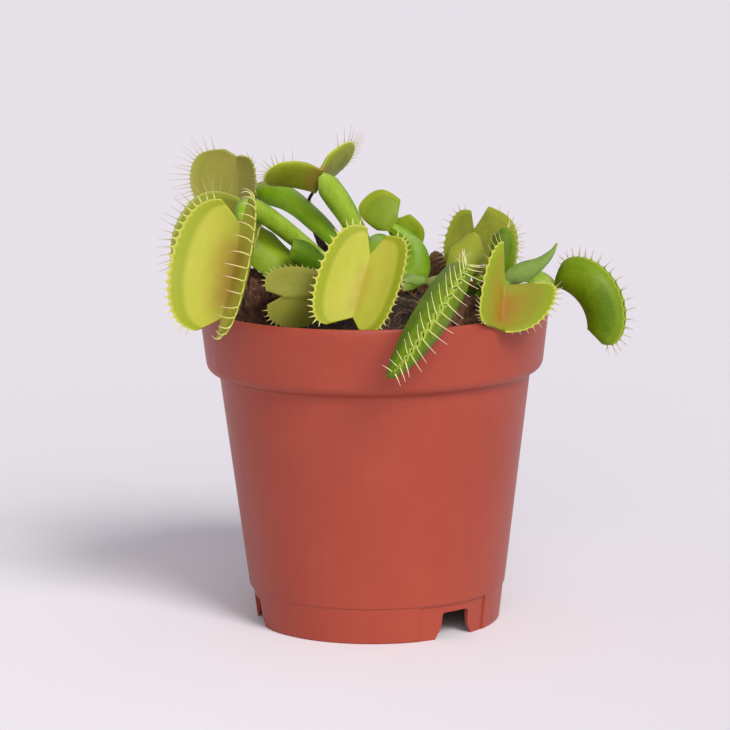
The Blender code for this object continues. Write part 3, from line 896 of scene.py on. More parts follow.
@dataclass
class GrowingMedium:
    """The peat in the pot with its crumbs, bark chips, fibres and pale roots."""

    radius: float = 40.4
    rim_z: float = 71.5
    middle_z: float = 78.0
    wave: float = 0.7
    tilt: float = 0.04
    floor_z: float = 9.4
    rings: int = 84
    steps: int = 240
    crumbs: int = 620
    fibres: int = 150
    finish: CrumblyFinish = CrumblyFinish(
        "peat", (0.055, 0.027, 0.014), (0.20, 0.11, 0.05), (0.014, 0.008, 0.005)
    )
    crumb_finish: CrumblyFinish = CrumblyFinish(
        "bark_crumbs", (0.10, 0.045, 0.02), (0.24, 0.13, 0.06), (0.03, 0.014, 0.008), 600.0
    )
    fibre_finish: CrumblyFinish = CrumblyFinish(
        "root_fibres", (0.30, 0.20, 0.09), (0.46, 0.36, 0.18), (0.12, 0.07, 0.03), 300.0
    )

    def surface(self, x: float, y: float) -> float:
        """Height of the smooth mound at a place."""
        inside = max(0.0, 1.0 - (hypot(x, y) / self.radius) ** 2)
        wave = self.wave * sin(x / 6.0 + 1.0) * cos(y / 7.0)
        return self.rim_z + (self.middle_z - self.rim_z) * inside + wave * inside + self.tilt * y

    def lumpy(self, x: float, y: float) -> float:
        """Height of the crumbled surface at a place."""
        spot = Vector((x, y, 0.0))
        lumps = 1.3 * crumble(spot, 7.0) + 0.75 * crumble(spot + Vector((40, 9, 3)), 2.4)
        grains = 0.35 * crumble(spot + Vector((7, 70, 5)), 0.9)
        return self.surface(x, y) + lumps + grains - 0.2

    def build(self, effects: Effects) -> list[bpy.types.Object]:
        """Builds the bed and what lies loose on it.

        Args:
            effects: the shared shader groups.

        Returns:
            The bed, the crumbs and the fibres.
        """
        return [self.build_bed(effects), self.build_crumbs(effects), self.build_fibres(effects)]

    def build_bed(self, effects: Effects) -> bpy.types.Object:
        """The body of peat, closed underneath."""
        outline = (
            (0.0, self.rim_z),
            (self.radius, self.rim_z),
            (self.radius - 0.6, 66.0),
            (36.3, 62.0),
            (30.1, 11.0),
            (28.8, self.floor_z),
            (0.0, self.floor_z),
        )
        bm = turn_outline(outline, self.steps, self.rings - 1)
        for vert in bm.verts:
            local = (vert.co - POT_AXIS) / MM
            if local.z > self.rim_z - 0.01:
                vert.co.z = self.lumpy(local.x, local.y) * MM
        return finish_piece("peat_bed", bm, self.finish.build(effects), "peat", ["growing_medium"])

    def build_crumbs(self, effects: Effects) -> bpy.types.Object:
        """Angular crumbs and chips pressed into the surface."""
        random = Random(11)
        bm = bmesh.new()
        for _ in range(self.crumbs):
            angle = random.uniform(0, 2 * pi)
            distance = (self.radius - 1.6) * random.random() ** 0.5
            x, y = distance * cos(angle), distance * sin(angle)
            size = 0.35 + 1.1 * random.random() ** 3
            made = bmesh.ops.create_icosphere(bm, subdivisions=1, radius=size * MM)["verts"]
            for vert in made:
                vert.co *= random.uniform(0.7, 1.3)
            stretch = Vector((random.uniform(0.8, 1.9), random.uniform(0.7, 1.2), random.uniform(0.4, 0.9)))
            bmesh.ops.scale(bm, vec=stretch, verts=made)
            spin = Matrix.Rotation(random.uniform(0, pi), 3, "Z")
            turn = spin @ Matrix.Rotation(random.uniform(-0.6, 0.6), 3, "X")
            bmesh.ops.rotate(bm, cent=(0, 0, 0), matrix=turn, verts=made)
            bmesh.ops.translate(bm, vec=to_frame((x, y, self.lumpy(x, y) + 0.15 * size)), verts=made)
        return finish_piece("bark_crumbs", bm, self.crumb_finish.build(effects), "peat", [], Shading.FLAT)

    def build_fibres(self, effects: Effects) -> bpy.types.Object:
        """Fine roots and moss strands that loop over the surface."""
        random = Random(5)
        rings = 8
        template = strand_template("fibre_template", 4, rings)
        bm = bmesh.new()
        bm.verts.layers.float.new("along")
        for _ in range(self.fibres):
            angle = random.uniform(0, 2 * pi)
            distance = (self.radius - 5.0) * random.random() ** 0.5
            heading = random.uniform(0, 2 * pi)
            turn = random.uniform(-0.5, 0.5)
            length = random.uniform(3.0, 9.0)
            arch = random.uniform(0.2, 1.6)
            x, y = distance * cos(angle), distance * sin(angle)
            points = []
            for step in range(rings + 1):
                lift = arch * sin(pi * step / rings)
                points.append(Vector((x, y, self.lumpy(x, y) + lift)))
                heading += turn / 2
                x += cos(heading) * length / rings
                y += sin(heading) * length / rings
                if hypot(x, y) > self.radius - 1.2:
                    x, y = x * 0.97, y * 0.97
            thick = random.uniform(0.10, 0.24)
            add_strand(bm, template, points, taper(thick, 0.6), Vector((0, 0, 1)))
        bpy.data.meshes.remove(template)
        return finish_piece("root_fibres", bm, self.fibre_finish.build(effects), "moss", [])


@dataclass
class MossClump:
    """A lump of dried moss and peat on the surface, with loose strands."""

    name: str
    centre: tuple[float, float]
    radius: float
    height: float
    strands: int
    finish: CrumblyFinish

    def build(self, effects: Effects, bed: GrowingMedium) -> bpy.types.Object:
        """Builds the clump as one piece with its strands.

        Args:
            effects: the shared shader groups.
            bed: the medium that it lies on.

        Returns:
            The clump.
        """
        random = Random(self.name)
        bm = bmesh.new()
        along = bm.verts.layers.float.new("along")
        bmesh.ops.create_icosphere(bm, subdivisions=6, radius=1.0)
        for vert in bm.verts:
            direction = vert.co.copy()
            spot = direction * self.radius + Vector((self.centre[0], self.centre[1], 0.0))
            swell = 1.0 + 0.22 * crumble(spot, 4.0) + 0.12 * crumble(spot, 1.3) + 0.05 * crumble(spot, 0.5)
            x = self.centre[0] + self.radius * direction.x * swell
            y = self.centre[1] + self.radius * direction.y * swell
            rise = self.height * max(direction.z, -0.25) * swell
            vert.co = to_frame((x, y, bed.surface(x, y) + rise))
            vert[along] = 0.0
        rings = 6
        template = strand_template(f"{self.name}_template", 4, rings)
        for _ in range(self.strands):
            angle = random.uniform(0, 2 * pi)
            tilt = random.uniform(0.1, 1.3)
            out = Vector((cos(angle) * sin(tilt), sin(angle) * sin(tilt), cos(tilt)))
            base_x = self.centre[0] + self.radius * out.x * 0.95
            base_y = self.centre[1] + self.radius * out.y * 0.95
            start = Vector((base_x, base_y, bed.surface(base_x, base_y) + self.height * out.z * 0.9))
            side = Vector((-sin(angle), cos(angle), random.uniform(-0.4, 0.4))).normalized()
            if random.random() < 0.5:
                side.negate()
            path = curl_path(start, side, out, random.uniform(2.0, 5.5), random.uniform(-60, 60), rings)
            thick = random.uniform(0.10, 0.26)
            add_strand(bm, template, path, taper(thick, 0.7), out)
        bpy.data.meshes.remove(template)
        return finish_piece(f"{self.name}_strands", bm, self.finish.build(effects), "moss", [self.name])


@dataclass
class Crown:
    """The growing point where the leaf bases meet: a low whorl of pale overlapping scales."""

    name: str
    centre: tuple[float, float]
    radius: float
    height: float
    scales: int = 9
    lift: float = 0.3
    finish: BladeFinish = BladeFinish(
        "leaf_bases", "crown", (0.30, 0.36, 0.10), (0.45, 0.48, 0.20), (0.14, 0.20, 0.03), 0.4
    )

    def build(self, effects: Effects, bed: GrowingMedium) -> bpy.types.Object:
        """Builds the whorl.

        Args:
            effects: the shared shader groups.
            bed: the medium that it stands on.

        Returns:
            The crown.
        """
        bm = bmesh.new()
        out_layer = bm.verts.layers.float.new("out")
        along = bm.verts.layers.float.new("along")
        bmesh.ops.create_uvsphere(bm, u_segments=96, v_segments=32, radius=1.0)
        for vert in bm.verts:
            angle = atan2(vert.co.y, vert.co.x)
            level = vert.co.z
            ridge = abs(sin(angle * self.scales / 2 + 2.2 * level))
            swell = 0.78 + 0.22 * ridge
            x = self.centre[0] + self.radius * vert.co.x * swell
            y = self.centre[1] + self.radius * vert.co.y * swell
            vert[out_layer] = 1.0 - ridge
            vert[along] = 0.5
            vert.co = to_frame((x, y, bed.surface(x, y) + self.lift + self.height * max(level, -0.1)))
        bmesh.ops.recalc_face_normals(bm, faces=bm.faces)
        name = f"whorl_{self.name.removeprefix('crown_')}"
        return finish_piece(name, bm, self.finish.build(effects), "crown", [self.name])


# --- Leaves ----------------------------------------------------------------------------------------


MARGIN_CROWDING = 0.25
NECK_GAP = 1.2
NECK_BEHIND = 0.7
ROUTE_NUDGE = 0.01
MARGIN_NUDGE = 0.02


@dataclass(frozen=True)
class Lobe:
    """One half of a trap. The angles are from the mouth's direction, at the midrib and at the margin."""

    width: float
    first_angle: float
    last_angle: float
    past_base: float
    past_tip: float
    cilia: int = 15
    cilium: float = 3.0
    stout: float = 0.20
    curl: float = 25.0
    ends: float = 1.0
    lean: float = 0.0
    horns: tuple[float, float] = (0.2, 0.2)
    widest: float = 0.5


@dataclass
class Trap:
    """A trap: two lobes hinged on a midrib, with teeth and cilia along both margins."""

    name: str
    base: Point
    tip: Point
    mouth: Point
    right: Lobe
    left: Lobe
    finish: LobeFinish
    fringe: CiliaFinish
    fullness: float = 0.6
    bend: float = 0.0
    tooth: float = 0.8
    closed: bool = False
    cup: float = 1.0
    band_relief: float = 0.16
    columns_per_tooth: int = 5
    columns_across: int = 15

    def __post_init__(self) -> None:
        """Works out the trap's own axes and the length of its midrib."""
        self.origin = Vector(self.base)
        chord = Vector(self.tip) - self.origin
        self.chord = chord.length
        self.along_axis = chord.normalized()
        mouth = Vector(self.mouth)
        self.mouth_axis = (mouth - self.along_axis * mouth.dot(self.along_axis)).normalized()
        self.across_axis = self.along_axis.cross(self.mouth_axis)
        self.turn = radians(self.bend)
        self.length = self.chord * self.turn / (2 * sin(self.turn / 2)) if self.turn else self.chord

    def lobe(self, side: Side) -> Lobe:
        """The lobe on a side."""
        return self.right if side is Side.RIGHT else self.left

    def sheet_point(self, along: float, out: float, side: Side, reach: float = 0.0) -> Vector:
        """A point of the sheet between the two faces.

        Args:
            along: share of the length, from the base to the tip.
            out: share of the width, from the midrib to the margin.
            side: the lobe.
            reach: distance added past the point, away from the midrib.

        Returns:
            The point in millimetres from the pot's axis.
        """
        lobe = self.lobe(side)
        past = lobe.past_base if along < 0.5 else lobe.past_tip
        horn = lobe.horns[0] + (lobe.horns[1] - lobe.horns[0]) * along
        peak = along ** (log(0.5) / log(lobe.widest)) if along > 0.0 else 0.0
        width = lobe.width * (horn + (1 - horn) * max(0.0, sin(pi * peak)) ** self.fullness)
        margin = self.length * (0.5 - (0.5 + past) * cos(pi * along))
        away = width * out + reach
        forward = self.length * along * (1 - out) + margin * out
        first = radians(lobe.first_angle)
        curve = (radians(lobe.last_angle) - first) / (width if self.closed else lobe.width)
        sideways = (cos(first) - cos(first + curve * away)) / curve
        rise = (sin(first + curve * away) - sin(first)) / curve
        if not self.closed:
            rise += self.cup * out * (2.0 * along - 1.0) ** 2
        if self.turn:
            radius = self.length / self.turn
            swing = self.turn * (forward / self.length - 0.5)
            forward = (radius + rise) * sin(swing) + self.chord / 2
            rise = (radius + rise) * cos(swing) - radius * cos(self.turn / 2)
        across = self.across_axis * side.value * sideways
        return self.origin + self.along_axis * forward + self.mouth_axis * rise + across

    def tooth_reach(self, along: float, out: float, side: Side) -> float:
        """How far the margin's teeth push a point outwards."""
        count = self.lobe(side).cilia
        if count == 0:
            return 0.0
        phase = (along * count) % 1.0
        peak = max(0.0, 1.0 - abs(phase - 0.5) * 2.6)
        return self.tooth * peak * smoothstep(0.84, 1.0, out)

    def build(self, effects: Effects) -> list[bpy.types.Object]:
        """Builds the lobes and their cilia.

        Args:
            effects: the shared shader groups.

        Returns:
            The lobes, and the cilia if the trap has any.
        """
        made = [self.build_lobes(effects)]
        if self.right.cilia or self.left.cilia:
            made.append(self.build_cilia(effects))
        return made

    def build_lobes(self, effects: Effects) -> bpy.types.Object:
        """Both lobes as one shell, from a grid laid along the midrib."""
        teeth = max(self.right.cilia, self.left.cilia, 12)
        rows = teeth * self.columns_per_tooth
        bm = grid_sheet(2 * self.columns_across, rows, self.grid_point)
        if self.faces_away(bm):
            bmesh.ops.reverse_faces(bm, faces=bm.faces)
        thicken(bm, self.inner_depth, self.outer_depth)
        finish = self.finish.build(effects)
        return finish_piece(
            f"lobes_{self.name}", bm, finish, self.finish.slot, [f"trap_{self.name}"], levels=1
        )

    def grid_point(self, across: float, up: float) -> tuple[float, float, Vector]:
        """The out, the along and the point of a grid vertex, with the rows closer at the margins."""
        side = Side.RIGHT if across < 0 else Side.LEFT
        out = abs(across) * (1.0 + MARGIN_CROWDING * (1.0 - abs(across)))
        along = (up + 1.0) / 2.0
        return out, along, self.sheet_point(along, out, side, self.tooth_reach(along, out, side))

    def faces_away(self, bm: bmesh.types.BMesh) -> bool:
        """True if the sheet's faces at the midrib turn away from the mouth."""
        bm.normal_update()
        middle = to_frame(self.sheet_point(0.5, 0.0, Side.LEFT))
        nearest = min(bm.verts, key=lambda vert: (vert.co - middle).length)
        return nearest.normal.dot(self.mouth_axis) < 0

    def inner_depth(self, out: float) -> float:
        """Half thickness on the mouth's side: a padded middle and a lower band along the margin."""
        band = smoothstep(0.74, 0.82, out)
        return (0.42 - self.band_relief * band - 0.08 * smoothstep(0.9, 1.0, out)) * MM

    def outer_depth(self, out: float) -> float:
        """Half thickness on the back, with the midrib's ridge."""
        ridge = 0.45 * max(0.0, 1.0 - out / 0.10) ** 1.5
        return (0.38 + ridge - 0.16 * smoothstep(0.7, 1.0, out)) * MM

    def build_cilia(self, effects: Effects) -> bpy.types.Object:
        """A row of tapered cilia on each margin, bending towards the mouth."""
        rings = 5
        template = strand_template(f"cilium_template_{self.name}", 5, rings)
        random = Random(self.name)
        bm = bmesh.new()
        bm.verts.layers.float.new("along")
        for side in Side:
            lobe = self.lobe(side)
            for index in range(lobe.cilia):
                along = (index + 0.5) / lobe.cilia
                start, outwards, inwards, tangent = self.margin_frame(along, side)
                level = 2.0 * along - 1.0
                length = lobe.cilium * (1.0 + (lobe.ends - 1.0) * level**2) * random.uniform(0.82, 1.15)
                tilt = radians(lobe.lean + random.uniform(-9, 9))
                heading = outwards * cos(tilt) + tangent * sin(tilt)
                curl = lobe.curl * random.uniform(0.75, 1.25)
                path = curl_path(start, heading, inwards, length, curl, rings)
                thick = lobe.stout * random.uniform(0.9, 1.1)
                add_strand(bm, template, path, taper(thick, 0.78, 0.8), tangent)
        bpy.data.meshes.remove(template)
        return finish_piece(
            f"cilia_{self.name}", bm, self.fringe.build(effects), self.fringe.slot, [f"trap_{self.name}"]
        )

    def margin_frame(self, along: float, side: Side) -> tuple[Vector, Vector, Vector, Vector]:
        """Where a cilium starts and which way it faces.

        Args:
            along: its share of the margin.
            side: its lobe.

        Returns:
            Its foot, the direction out of the lobe, the direction into the mouth and the margin's tangent.
        """
        foot = self.sheet_point(along, 1.0, side, 0.55 * self.tooth)
        before = self.sheet_point(along - MARGIN_NUDGE, 1.0, side)
        tangent = (self.sheet_point(along + MARGIN_NUDGE, 1.0, side) - before).normalized()
        outwards = self.sheet_point(along, 1.0, side) - self.sheet_point(along, 0.93, side)
        outwards = (outwards - tangent * outwards.dot(tangent)).normalized()
        inwards = tangent.cross(outwards)
        lobe = self.lobe(side)
        last = radians(lobe.last_angle)
        facing = self.mouth_axis * sin(last) - self.across_axis * side.value * cos(last)
        if inwards.dot(facing) < 0:
            inwards.negate()
        return foot, outwards, inwards, tangent


@dataclass
class Blade:
    """A petiole or a plain leaf: a sheet along a curve, rolled across it by an angle."""

    name: str
    node: str
    route: tuple[Point, Point, Point, Point]
    width: float
    face: Point
    finish: BladeFinish
    roll: float = 60.0
    end: float = 0.28
    root: float = 0.35
    thickness: float = 1.1
    edge: float = 0.3
    ripple: float = 0.25
    peak: float = 0.8
    rows: int = 48
    columns: int = 18

    def spread(self, share: float) -> float:
        """The blade's width at a share of its length, as a share of its widest."""
        swell = self.root + (1 - self.root) * sin(min(share / self.peak, 1.0) * pi / 2) ** 1.2
        close = max(0.0, (share - self.peak) / (1.0 - self.peak))
        return swell * (1 - (1 - self.end) * close**1.3)

    def sheet_point(self, share: float, across: float) -> Vector:
        """A point of the sheet.

        Args:
            share: share of the length, from the root to the end.
            across: -1 and 1 at the edges and 0 on the midrib.

        Returns:
            The point in millimetres from the pot's axis.
        """
        middle = bezier(self.route, share)
        before = bezier(self.route, max(0.0, share - ROUTE_NUDGE))
        ahead = (bezier(self.route, min(1.0, share + ROUTE_NUDGE)) - before).normalized()
        sideways = ahead.cross(Vector(self.face)).normalized()
        face = sideways.cross(ahead)
        width = self.width * self.spread(share)
        angle = radians(self.roll)
        radius = width / angle
        swing = across * angle / 2
        wave = self.ripple * across**2 * sin(share * 17.0 + 2.0 * across)
        return middle + sideways * radius * sin(swing) + face * (radius * (cos(swing) - 1.0) + wave)

    def build(self, effects: Effects) -> bpy.types.Object:
        """Builds the blade from a grid.

        Args:
            effects: the shared shader groups.

        Returns:
            The blade.
        """
        bm = grid_sheet(self.columns, self.rows, self.grid_point)
        thicken(bm, self.depth, self.depth)
        finish = self.finish.build(effects)
        return finish_piece(self.name, bm, finish, self.finish.slot, [self.node], levels=1)

    def grid_point(self, across: float, up: float) -> tuple[float, float, Vector]:
        """The out, the along and the point of a grid vertex."""
        share = (up + 1.0) / 2.0
        return abs(across), share, self.sheet_point(share, across)

    def depth(self, out: float) -> float:
        """Half thickness: thick along the midrib and thin at the edges."""
        return 0.5 * (self.edge + (self.thickness - self.edge) * (1.0 - out) ** 1.4) * MM


@dataclass
class FlowerStalk:
    """The dead flower stalk: a shrivelled stump that thins to a black thread."""

    route: tuple[tuple[Point, float], ...] = (
        ((-10.5, 13.0, 78.0), 1.9),
        ((-11.3, 14.0, 84.5), 1.7),
        ((-12.2, 15.0, 89.4), 1.45),
        ((-13.4, 16.0, 91.1), 0.8),
        ((-15.1, 18.0, 94.6), 0.45),
        ((-16.0, 18.5, 98.6), 0.42),
        ((-15.7, 17.5, 101.5), 0.42),
        ((-14.9, 15.5, 103.0), 0.40),
    )
    sides: int = 14
    rings: int = 72
    finish: CrumblyFinish = CrumblyFinish(
        "dead_stalk", (0.045, 0.020, 0.016), (0.16, 0.08, 0.05), (0.012, 0.007, 0.009), 380.0
    )

    def build(self, effects: Effects) -> bpy.types.Object:
        """Builds the stalk.

        Args:
            effects: the shared shader groups.

        Returns:
            The stalk.
        """
        template = strand_template("stalk_template", self.sides, self.rings)
        bm = bmesh.new()
        bm.verts.layers.float.new("along")
        points = [self.at(step / self.rings)[0] for step in range(self.rings + 1)]
        add_strand(bm, template, points, lambda share: self.at(share)[1], Vector((0, 1, 0)))
        bpy.data.meshes.remove(template)
        for vert in bm.verts:
            local = (vert.co - POT_AXIS) / MM
            shift = 0.22 * crumble(local, 1.6)
            vert.co += Vector((shift, shift, 0.0)) * MM * smoothstep(95.0, 86.0, local.z)
        finish = self.finish.build(effects)
        return finish_piece("dead_flower_stalk", bm, finish, "dry_stem", ["flower_stalk_dry"])

    def at(self, share: float) -> tuple[Vector, float]:
        """The stalk's middle and radius at a share of its length."""
        last = len(self.route) - 1
        index = min(int(share * last), last - 1)
        part = smoothstep(0.0, 1.0, share * last - index) * 0.5 + (share * last - index) * 0.5
        (first, thick), (second, thin) = self.route[index], self.route[index + 1]
        return Vector(first).lerp(Vector(second), part), thick + (thin - thick) * part


YELLOW = LobeFinish("lobes_yellow_green", "trap_yellow", flush_strength=0.4)
RUSTED = LobeFinish("lobes_yellow_rusted", "trap_yellow", flush_reach=0.55, flush_strength=0.85)
GOLDEN = LobeFinish(
    "lobes_golden", "trap_yellow", inside=(0.22, 0.21, 0.018), band=(0.20, 0.25, 0.014),
    flush=(0.26, 0.09, 0.008),
    flush_reach=0.65, flush_strength=0.85, outside=(0.22, 0.25, 0.02),
)
OLIVE = LobeFinish(
    "lobes_olive", "trap_olive", inside=(0.16, 0.17, 0.014), band=(0.20, 0.23, 0.02),
    outside=(0.18, 0.19, 0.014),
    outside_dark=(0.115, 0.135, 0.008), rim=(0.30, 0.33, 0.07),
)
BRONZED = LobeFinish(
    "lobes_bronzed", "trap_olive", inside=(0.22, 0.23, 0.018), band=(0.30, 0.34, 0.03),
    outside=(0.25, 0.28, 0.02),
    outside_dark=(0.18, 0.215, 0.010), rim=(0.42, 0.46, 0.09), flush=(0.34, 0.13, 0.05), back_flush=0.55,
)
PALE_OLIVE = LobeFinish(
    "lobes_pale_olive", "trap_olive", inside=(0.26, 0.24, 0.045), band=(0.25, 0.24, 0.04),
    outside=(0.26, 0.255, 0.04),
    outside_dark=(0.21, 0.215, 0.028), rim=(0.32, 0.33, 0.07), flush_strength=0.0,
)
# Painted shade: a darker copy of PALE_OLIVE's outer faces, for the low trap at the left.
PALE_OLIVE_PAINTED_SHADE = replace(
    PALE_OLIVE, name="lobes_pale_olive_painted_shade", outside=(0.20, 0.20, 0.028), outside_dark=(0.16, 0.165, 0.020)
)
GREEN = LobeFinish(
    "lobes_green", "trap_green", inside=(0.09, 0.155, 0.003), band=(0.14, 0.215, 0.007),
    outside=(0.082, 0.145, 0.002),
    outside_dark=(0.055, 0.105, 0.001), rim=(0.26, 0.34, 0.04), flush_strength=0.2, roughness=0.40,
)
LIT_GREEN = replace(
    GREEN, name="lobes_lit_green", outside=(0.125, 0.19, 0.003), outside_dark=(0.065, 0.12, 0.001)
)
FRESH = LobeFinish(
    "lobes_fresh", "trap_green", outside=(0.16, 0.225, 0.006), outside_dark=(0.12, 0.185, 0.004),
    rim=(0.24, 0.31, 0.02),
)
YELLOW_FRINGE = CiliaFinish("cilia_yellow", "trap_yellow")
PALE_FRINGE = CiliaFinish("cilia_pale", "trap_green", (0.55, 0.56, 0.20), (0.72, 0.45, 0.42))
LILAC_FRINGE = CiliaFinish("cilia_lilac", "trap_olive", (0.34, 0.33, 0.12), (0.42, 0.30, 0.36))

TRAPS = (
    Trap("wide_left", (-31, -24, 100.5), (-35.5, -31, 79.5), (-0.7, -0.75, 0.05),
         Lobe(16.5, 74, 38, 0.28, 0.26, 16, 6.6, 0.25, 115, 0.45, horns=(0.3, 0.12)),
         Lobe(15.4, 65, 35, 0.26, 0.22, 22, 1.1, 0.26, 30, 2.0, horns=(0.3, 0.3), widest=0.5),
         RUSTED, YELLOW_FRINGE, 0.8, -15),
    Trap("far_left", (-33, 24, 100.5), (-33.6, 25, 111.2), (-0.65, -0.7, 0.2),
         Lobe(13.2, 80, 55, 0.15, 0.2, 22, 5.0, 0.10, 15), Lobe(8.5, 85, 62, 0.05, 0.0, 12, 2.5, 0.10, 15),
         PALE_OLIVE, LILAC_FRINGE, 0.5, tooth=0.4),
    Trap("behind_left", (-30, -8, 100.5), (-36.5, -11, 86), (-0.6, -0.75, 0.1),
         Lobe(6.5, 85, 70, 0.2, 0.2, 12, 2.0, 0.12, 20), Lobe(15.5, 75, 45, 0.2, 0.2, 20, 4.0, 0.11, 15),
         OLIVE, LILAC_FRINGE, tooth=0.4),
    Trap("top", (-12.5, 2, 110.5), (-14.2, 7, 104.4), (-0.34, 0.47, 0.82),
         Lobe(13.5, 50, 90, 0.0, 0.1, 17, 3.5, 0.11, 10), Lobe(14.5, 60, 65, 0.25, 0.2, 18, 4.5, 0.11, 10),
         BRONZED, LILAC_FRINGE, 0.45, tooth=0.5),
    Trap("low_left", (-13, -20.3, 83.1), (-21.7, -24.3, 83.4), (0, 1, -0.25),
         Lobe(8.3, 75, 50, 0.3, 0.35, 17, 1.0, 0.16, 15), Lobe(8.0, 75, 50, 0.3, 0.35, 17, 1.0, 0.16, 15),
         PALE_OLIVE_PAINTED_SHADE, YELLOW_FRINGE, 0.7, tooth=0.5),
    Trap("front_middle", (-0.8, -27, 93.5), (-5, -33, 79.5), (-0.15, -1, 0.1),
         Lobe(11, 75, 45, 0.32, 0.24, 19, 1.1, 0.24, 20, 1.4, horns=(0.25, 0.28), widest=0.42),
         Lobe(11, 75, 55, 0.38, 0.24, 19, 1.1, 0.24, 20, 1.4, horns=(0.2, 0.5), widest=0.55),
         YELLOW, YELLOW_FRINGE, 0.6),
    Trap("young_middle", (3.6, 8, 94.4), (6.0, 9, 97.4), (0, 1, 0.1),
         Lobe(10, 80, 60, 0.12, 0.75, 0), Lobe(9.8, 80, 60, 0.33, 1.1, 0),
         FRESH, PALE_FRINGE, 0.5),
    Trap("drooping_front", (17.4, -34, 87.9), (3.0, -60, 70), (0.464, -0.712, 0.525),
         Lobe(14, 70, -66, 0.03, 0.0, 19, 5.2, 0.20, -12, 0.6, -22, (0.45, 0.06), 0.42),
         Lobe(14, 70, -66, 0.03, 0.0, 18, 5.8, 0.20, -12, 0.6, 24, (0.45, 0.06), 0.42),
         GREEN, PALE_FRINGE, 0.7, tooth=1.0, closed=True),
    Trap("back_right", (24.7, 8, 94.5), (23, 4, 87), (-0.1, 1, 0.2),
         Lobe(6.6, 75, 55, 0.6, 0.2, 15, 2.0, 0.12, 10),
         Lobe(15, 75, 55, 0.9, 0.5, 20, 2.2, 0.12, 10, widest=0.46),
         OLIVE, LILAC_FRINGE, tooth=0.5),
    Trap("closed_right", (27, -9, 84), (29.5, -7, 95), (0.8, 0.1, 0.2),
         Lobe(6.5, 65, -58, 0.1, 0.2, 13, 4.2, 0.16, 0), Lobe(6.5, 65, -58, 0.1, 0.2, 13, 4.2, 0.16, 0),
         GREEN, PALE_FRINGE, tooth=0.6, closed=True),
    Trap("right", (30.6, -27, 86), (29.6, -32, 76), (0.35, -0.75, 0.5),
         Lobe(12.5, 68, 50, 0.05, 0.05, 15, 1.6, 0.15, 20, horns=(0.55, 0.06), widest=0.30),
         Lobe(7.2, 75, 60, 0.9, 0.0, 17, 2.2, 0.15, 25, 1.3, horns=(0.2, 0.75), widest=0.6),
         GOLDEN, LILAC_FRINGE, 0.9),
    Trap("far_right", (44, -4, 82.5), (52, -8, 72), (0.75, -0.1, 0.65),
         Lobe(11.5, 65, -50, 0.0, 0.18, 22, 3.0, 0.12, -20, horns=(0.15, 0.35)),
         Lobe(11.5, 65, -50, 0.0, 0.18, 22, 3.0, 0.12, -20, horns=(0.15, 0.35)),
         LIT_GREEN, LILAC_FRINGE, 0.6, 75, 0.5, closed=True),
)

VIVID = BladeFinish(
    "blade_vivid", "petiole", (0.175, 0.285, 0.010), (0.32, 0.42, 0.055), (0.07, 0.17, 0.004), 0.24
)
LIME = BladeFinish("blade_lime", "petiole", (0.19, 0.28, 0.006), (0.27, 0.36, 0.012), (0.12, 0.21, 0.004))
DEEP = BladeFinish("blade_deep", "petiole", (0.125, 0.245, 0.004), (0.22, 0.35, 0.012), (0.06, 0.15, 0.003))
# Painted shade: the short left leaf's own green, darkened to paint the shade it sits in.
SHADE_PAINTED_GREEN = BladeFinish("blade_painted_shade", "petiole", (0.06, 0.13, 0.003), (0.11, 0.19, 0.008), (0.03, 0.08, 0.002))
PALE = BladeFinish(
    "blade_pale", "petiole", (0.19, 0.22, 0.012), (0.27, 0.29, 0.03), (0.13, 0.17, 0.010), 0.36
)
BLUISH = BladeFinish("blade_bluish", "leaf", (0.15, 0.24, 0.045), (0.24, 0.33, 0.08), (0.09, 0.16, 0.02), 0.4)
SHADED = BladeFinish(
    "blade_shaded", "leaf", (0.04, 0.11, 0.012), (0.09, 0.18, 0.03), (0.02, 0.06, 0.008), 0.4
)

# Each petiole: its trap, the first three points of its route, its width, its face, its roll and its finish.
PETIOLES = (
    ("wide_left", ((-5, -2, 86.5), (-12.7, -6, 85.8), (-33, -16, 116)), 7.0, (0.3, -1, 0.4), 150.0, VIVID),
    ("behind_left", ((-6.5, -5, 84), (-15, -8, 85), (-26.5, -8, 88)), 10.0, (0.2, -1, 0.5), 50.0, LIME),
    ("far_left", ((-2.6, 4.5, 85), (-10.3, 6, 93.5), (-21.3, 18, 109)), 8.0, (0.3, -1, 0.5), 110.0, DEEP),
    ("top", ((0, 5, 83), (-0.5, 6, 90), (-6, 4, 101)), 7.4, (0.3, -1, 0.2), 120.0, VIVID),
    ("front_middle", ((3, -4.5, 82), (4, -10, 88), (3, -18, 102)), 6.5, (0, -1, 0.5), 100.0, DEEP),
    ("low_left", ((-2, -6.5, 81), (-5, -9, 84), (-9, -14, 86)), 5.5, (0, 0, 1), 60.0, LIME),
    ("young_middle", ((6.6, 3, 81.5), (9.6, 4, 82.4), (14, 6, 90)), 8.0, (0, -1, 0), 50.0, DEEP),
    ("back_right", ((19, 0.5, 80.5), (19.5, -2, 85), (24, -1, 91)), 9.0, (0, -1, 0.3), 50.0, PALE),
    ("drooping_front", ((19, -5.5, 81), (18, -12, 86), (18, -24, 90)), 11.0, (0, 0, 1), 40.0, PALE),
    ("closed_right", ((24, -2.5, 81), (24.5, -5, 82), (25.3, -7.5, 81.5)), 5.5, (0, -1, 0.3), 60.0, DEEP),
    ("right", ((22, -7, 80.5), (25, -15, 84), (30, -22, 90)), 6.5, (0, 0, 1), 60.0, DEEP),
    ("far_right", ((26, 1, 81), (31, 0, 86), (38, -2, 88)), 6.5, (0, -0.6, 1), 70.0, VIVID),
)

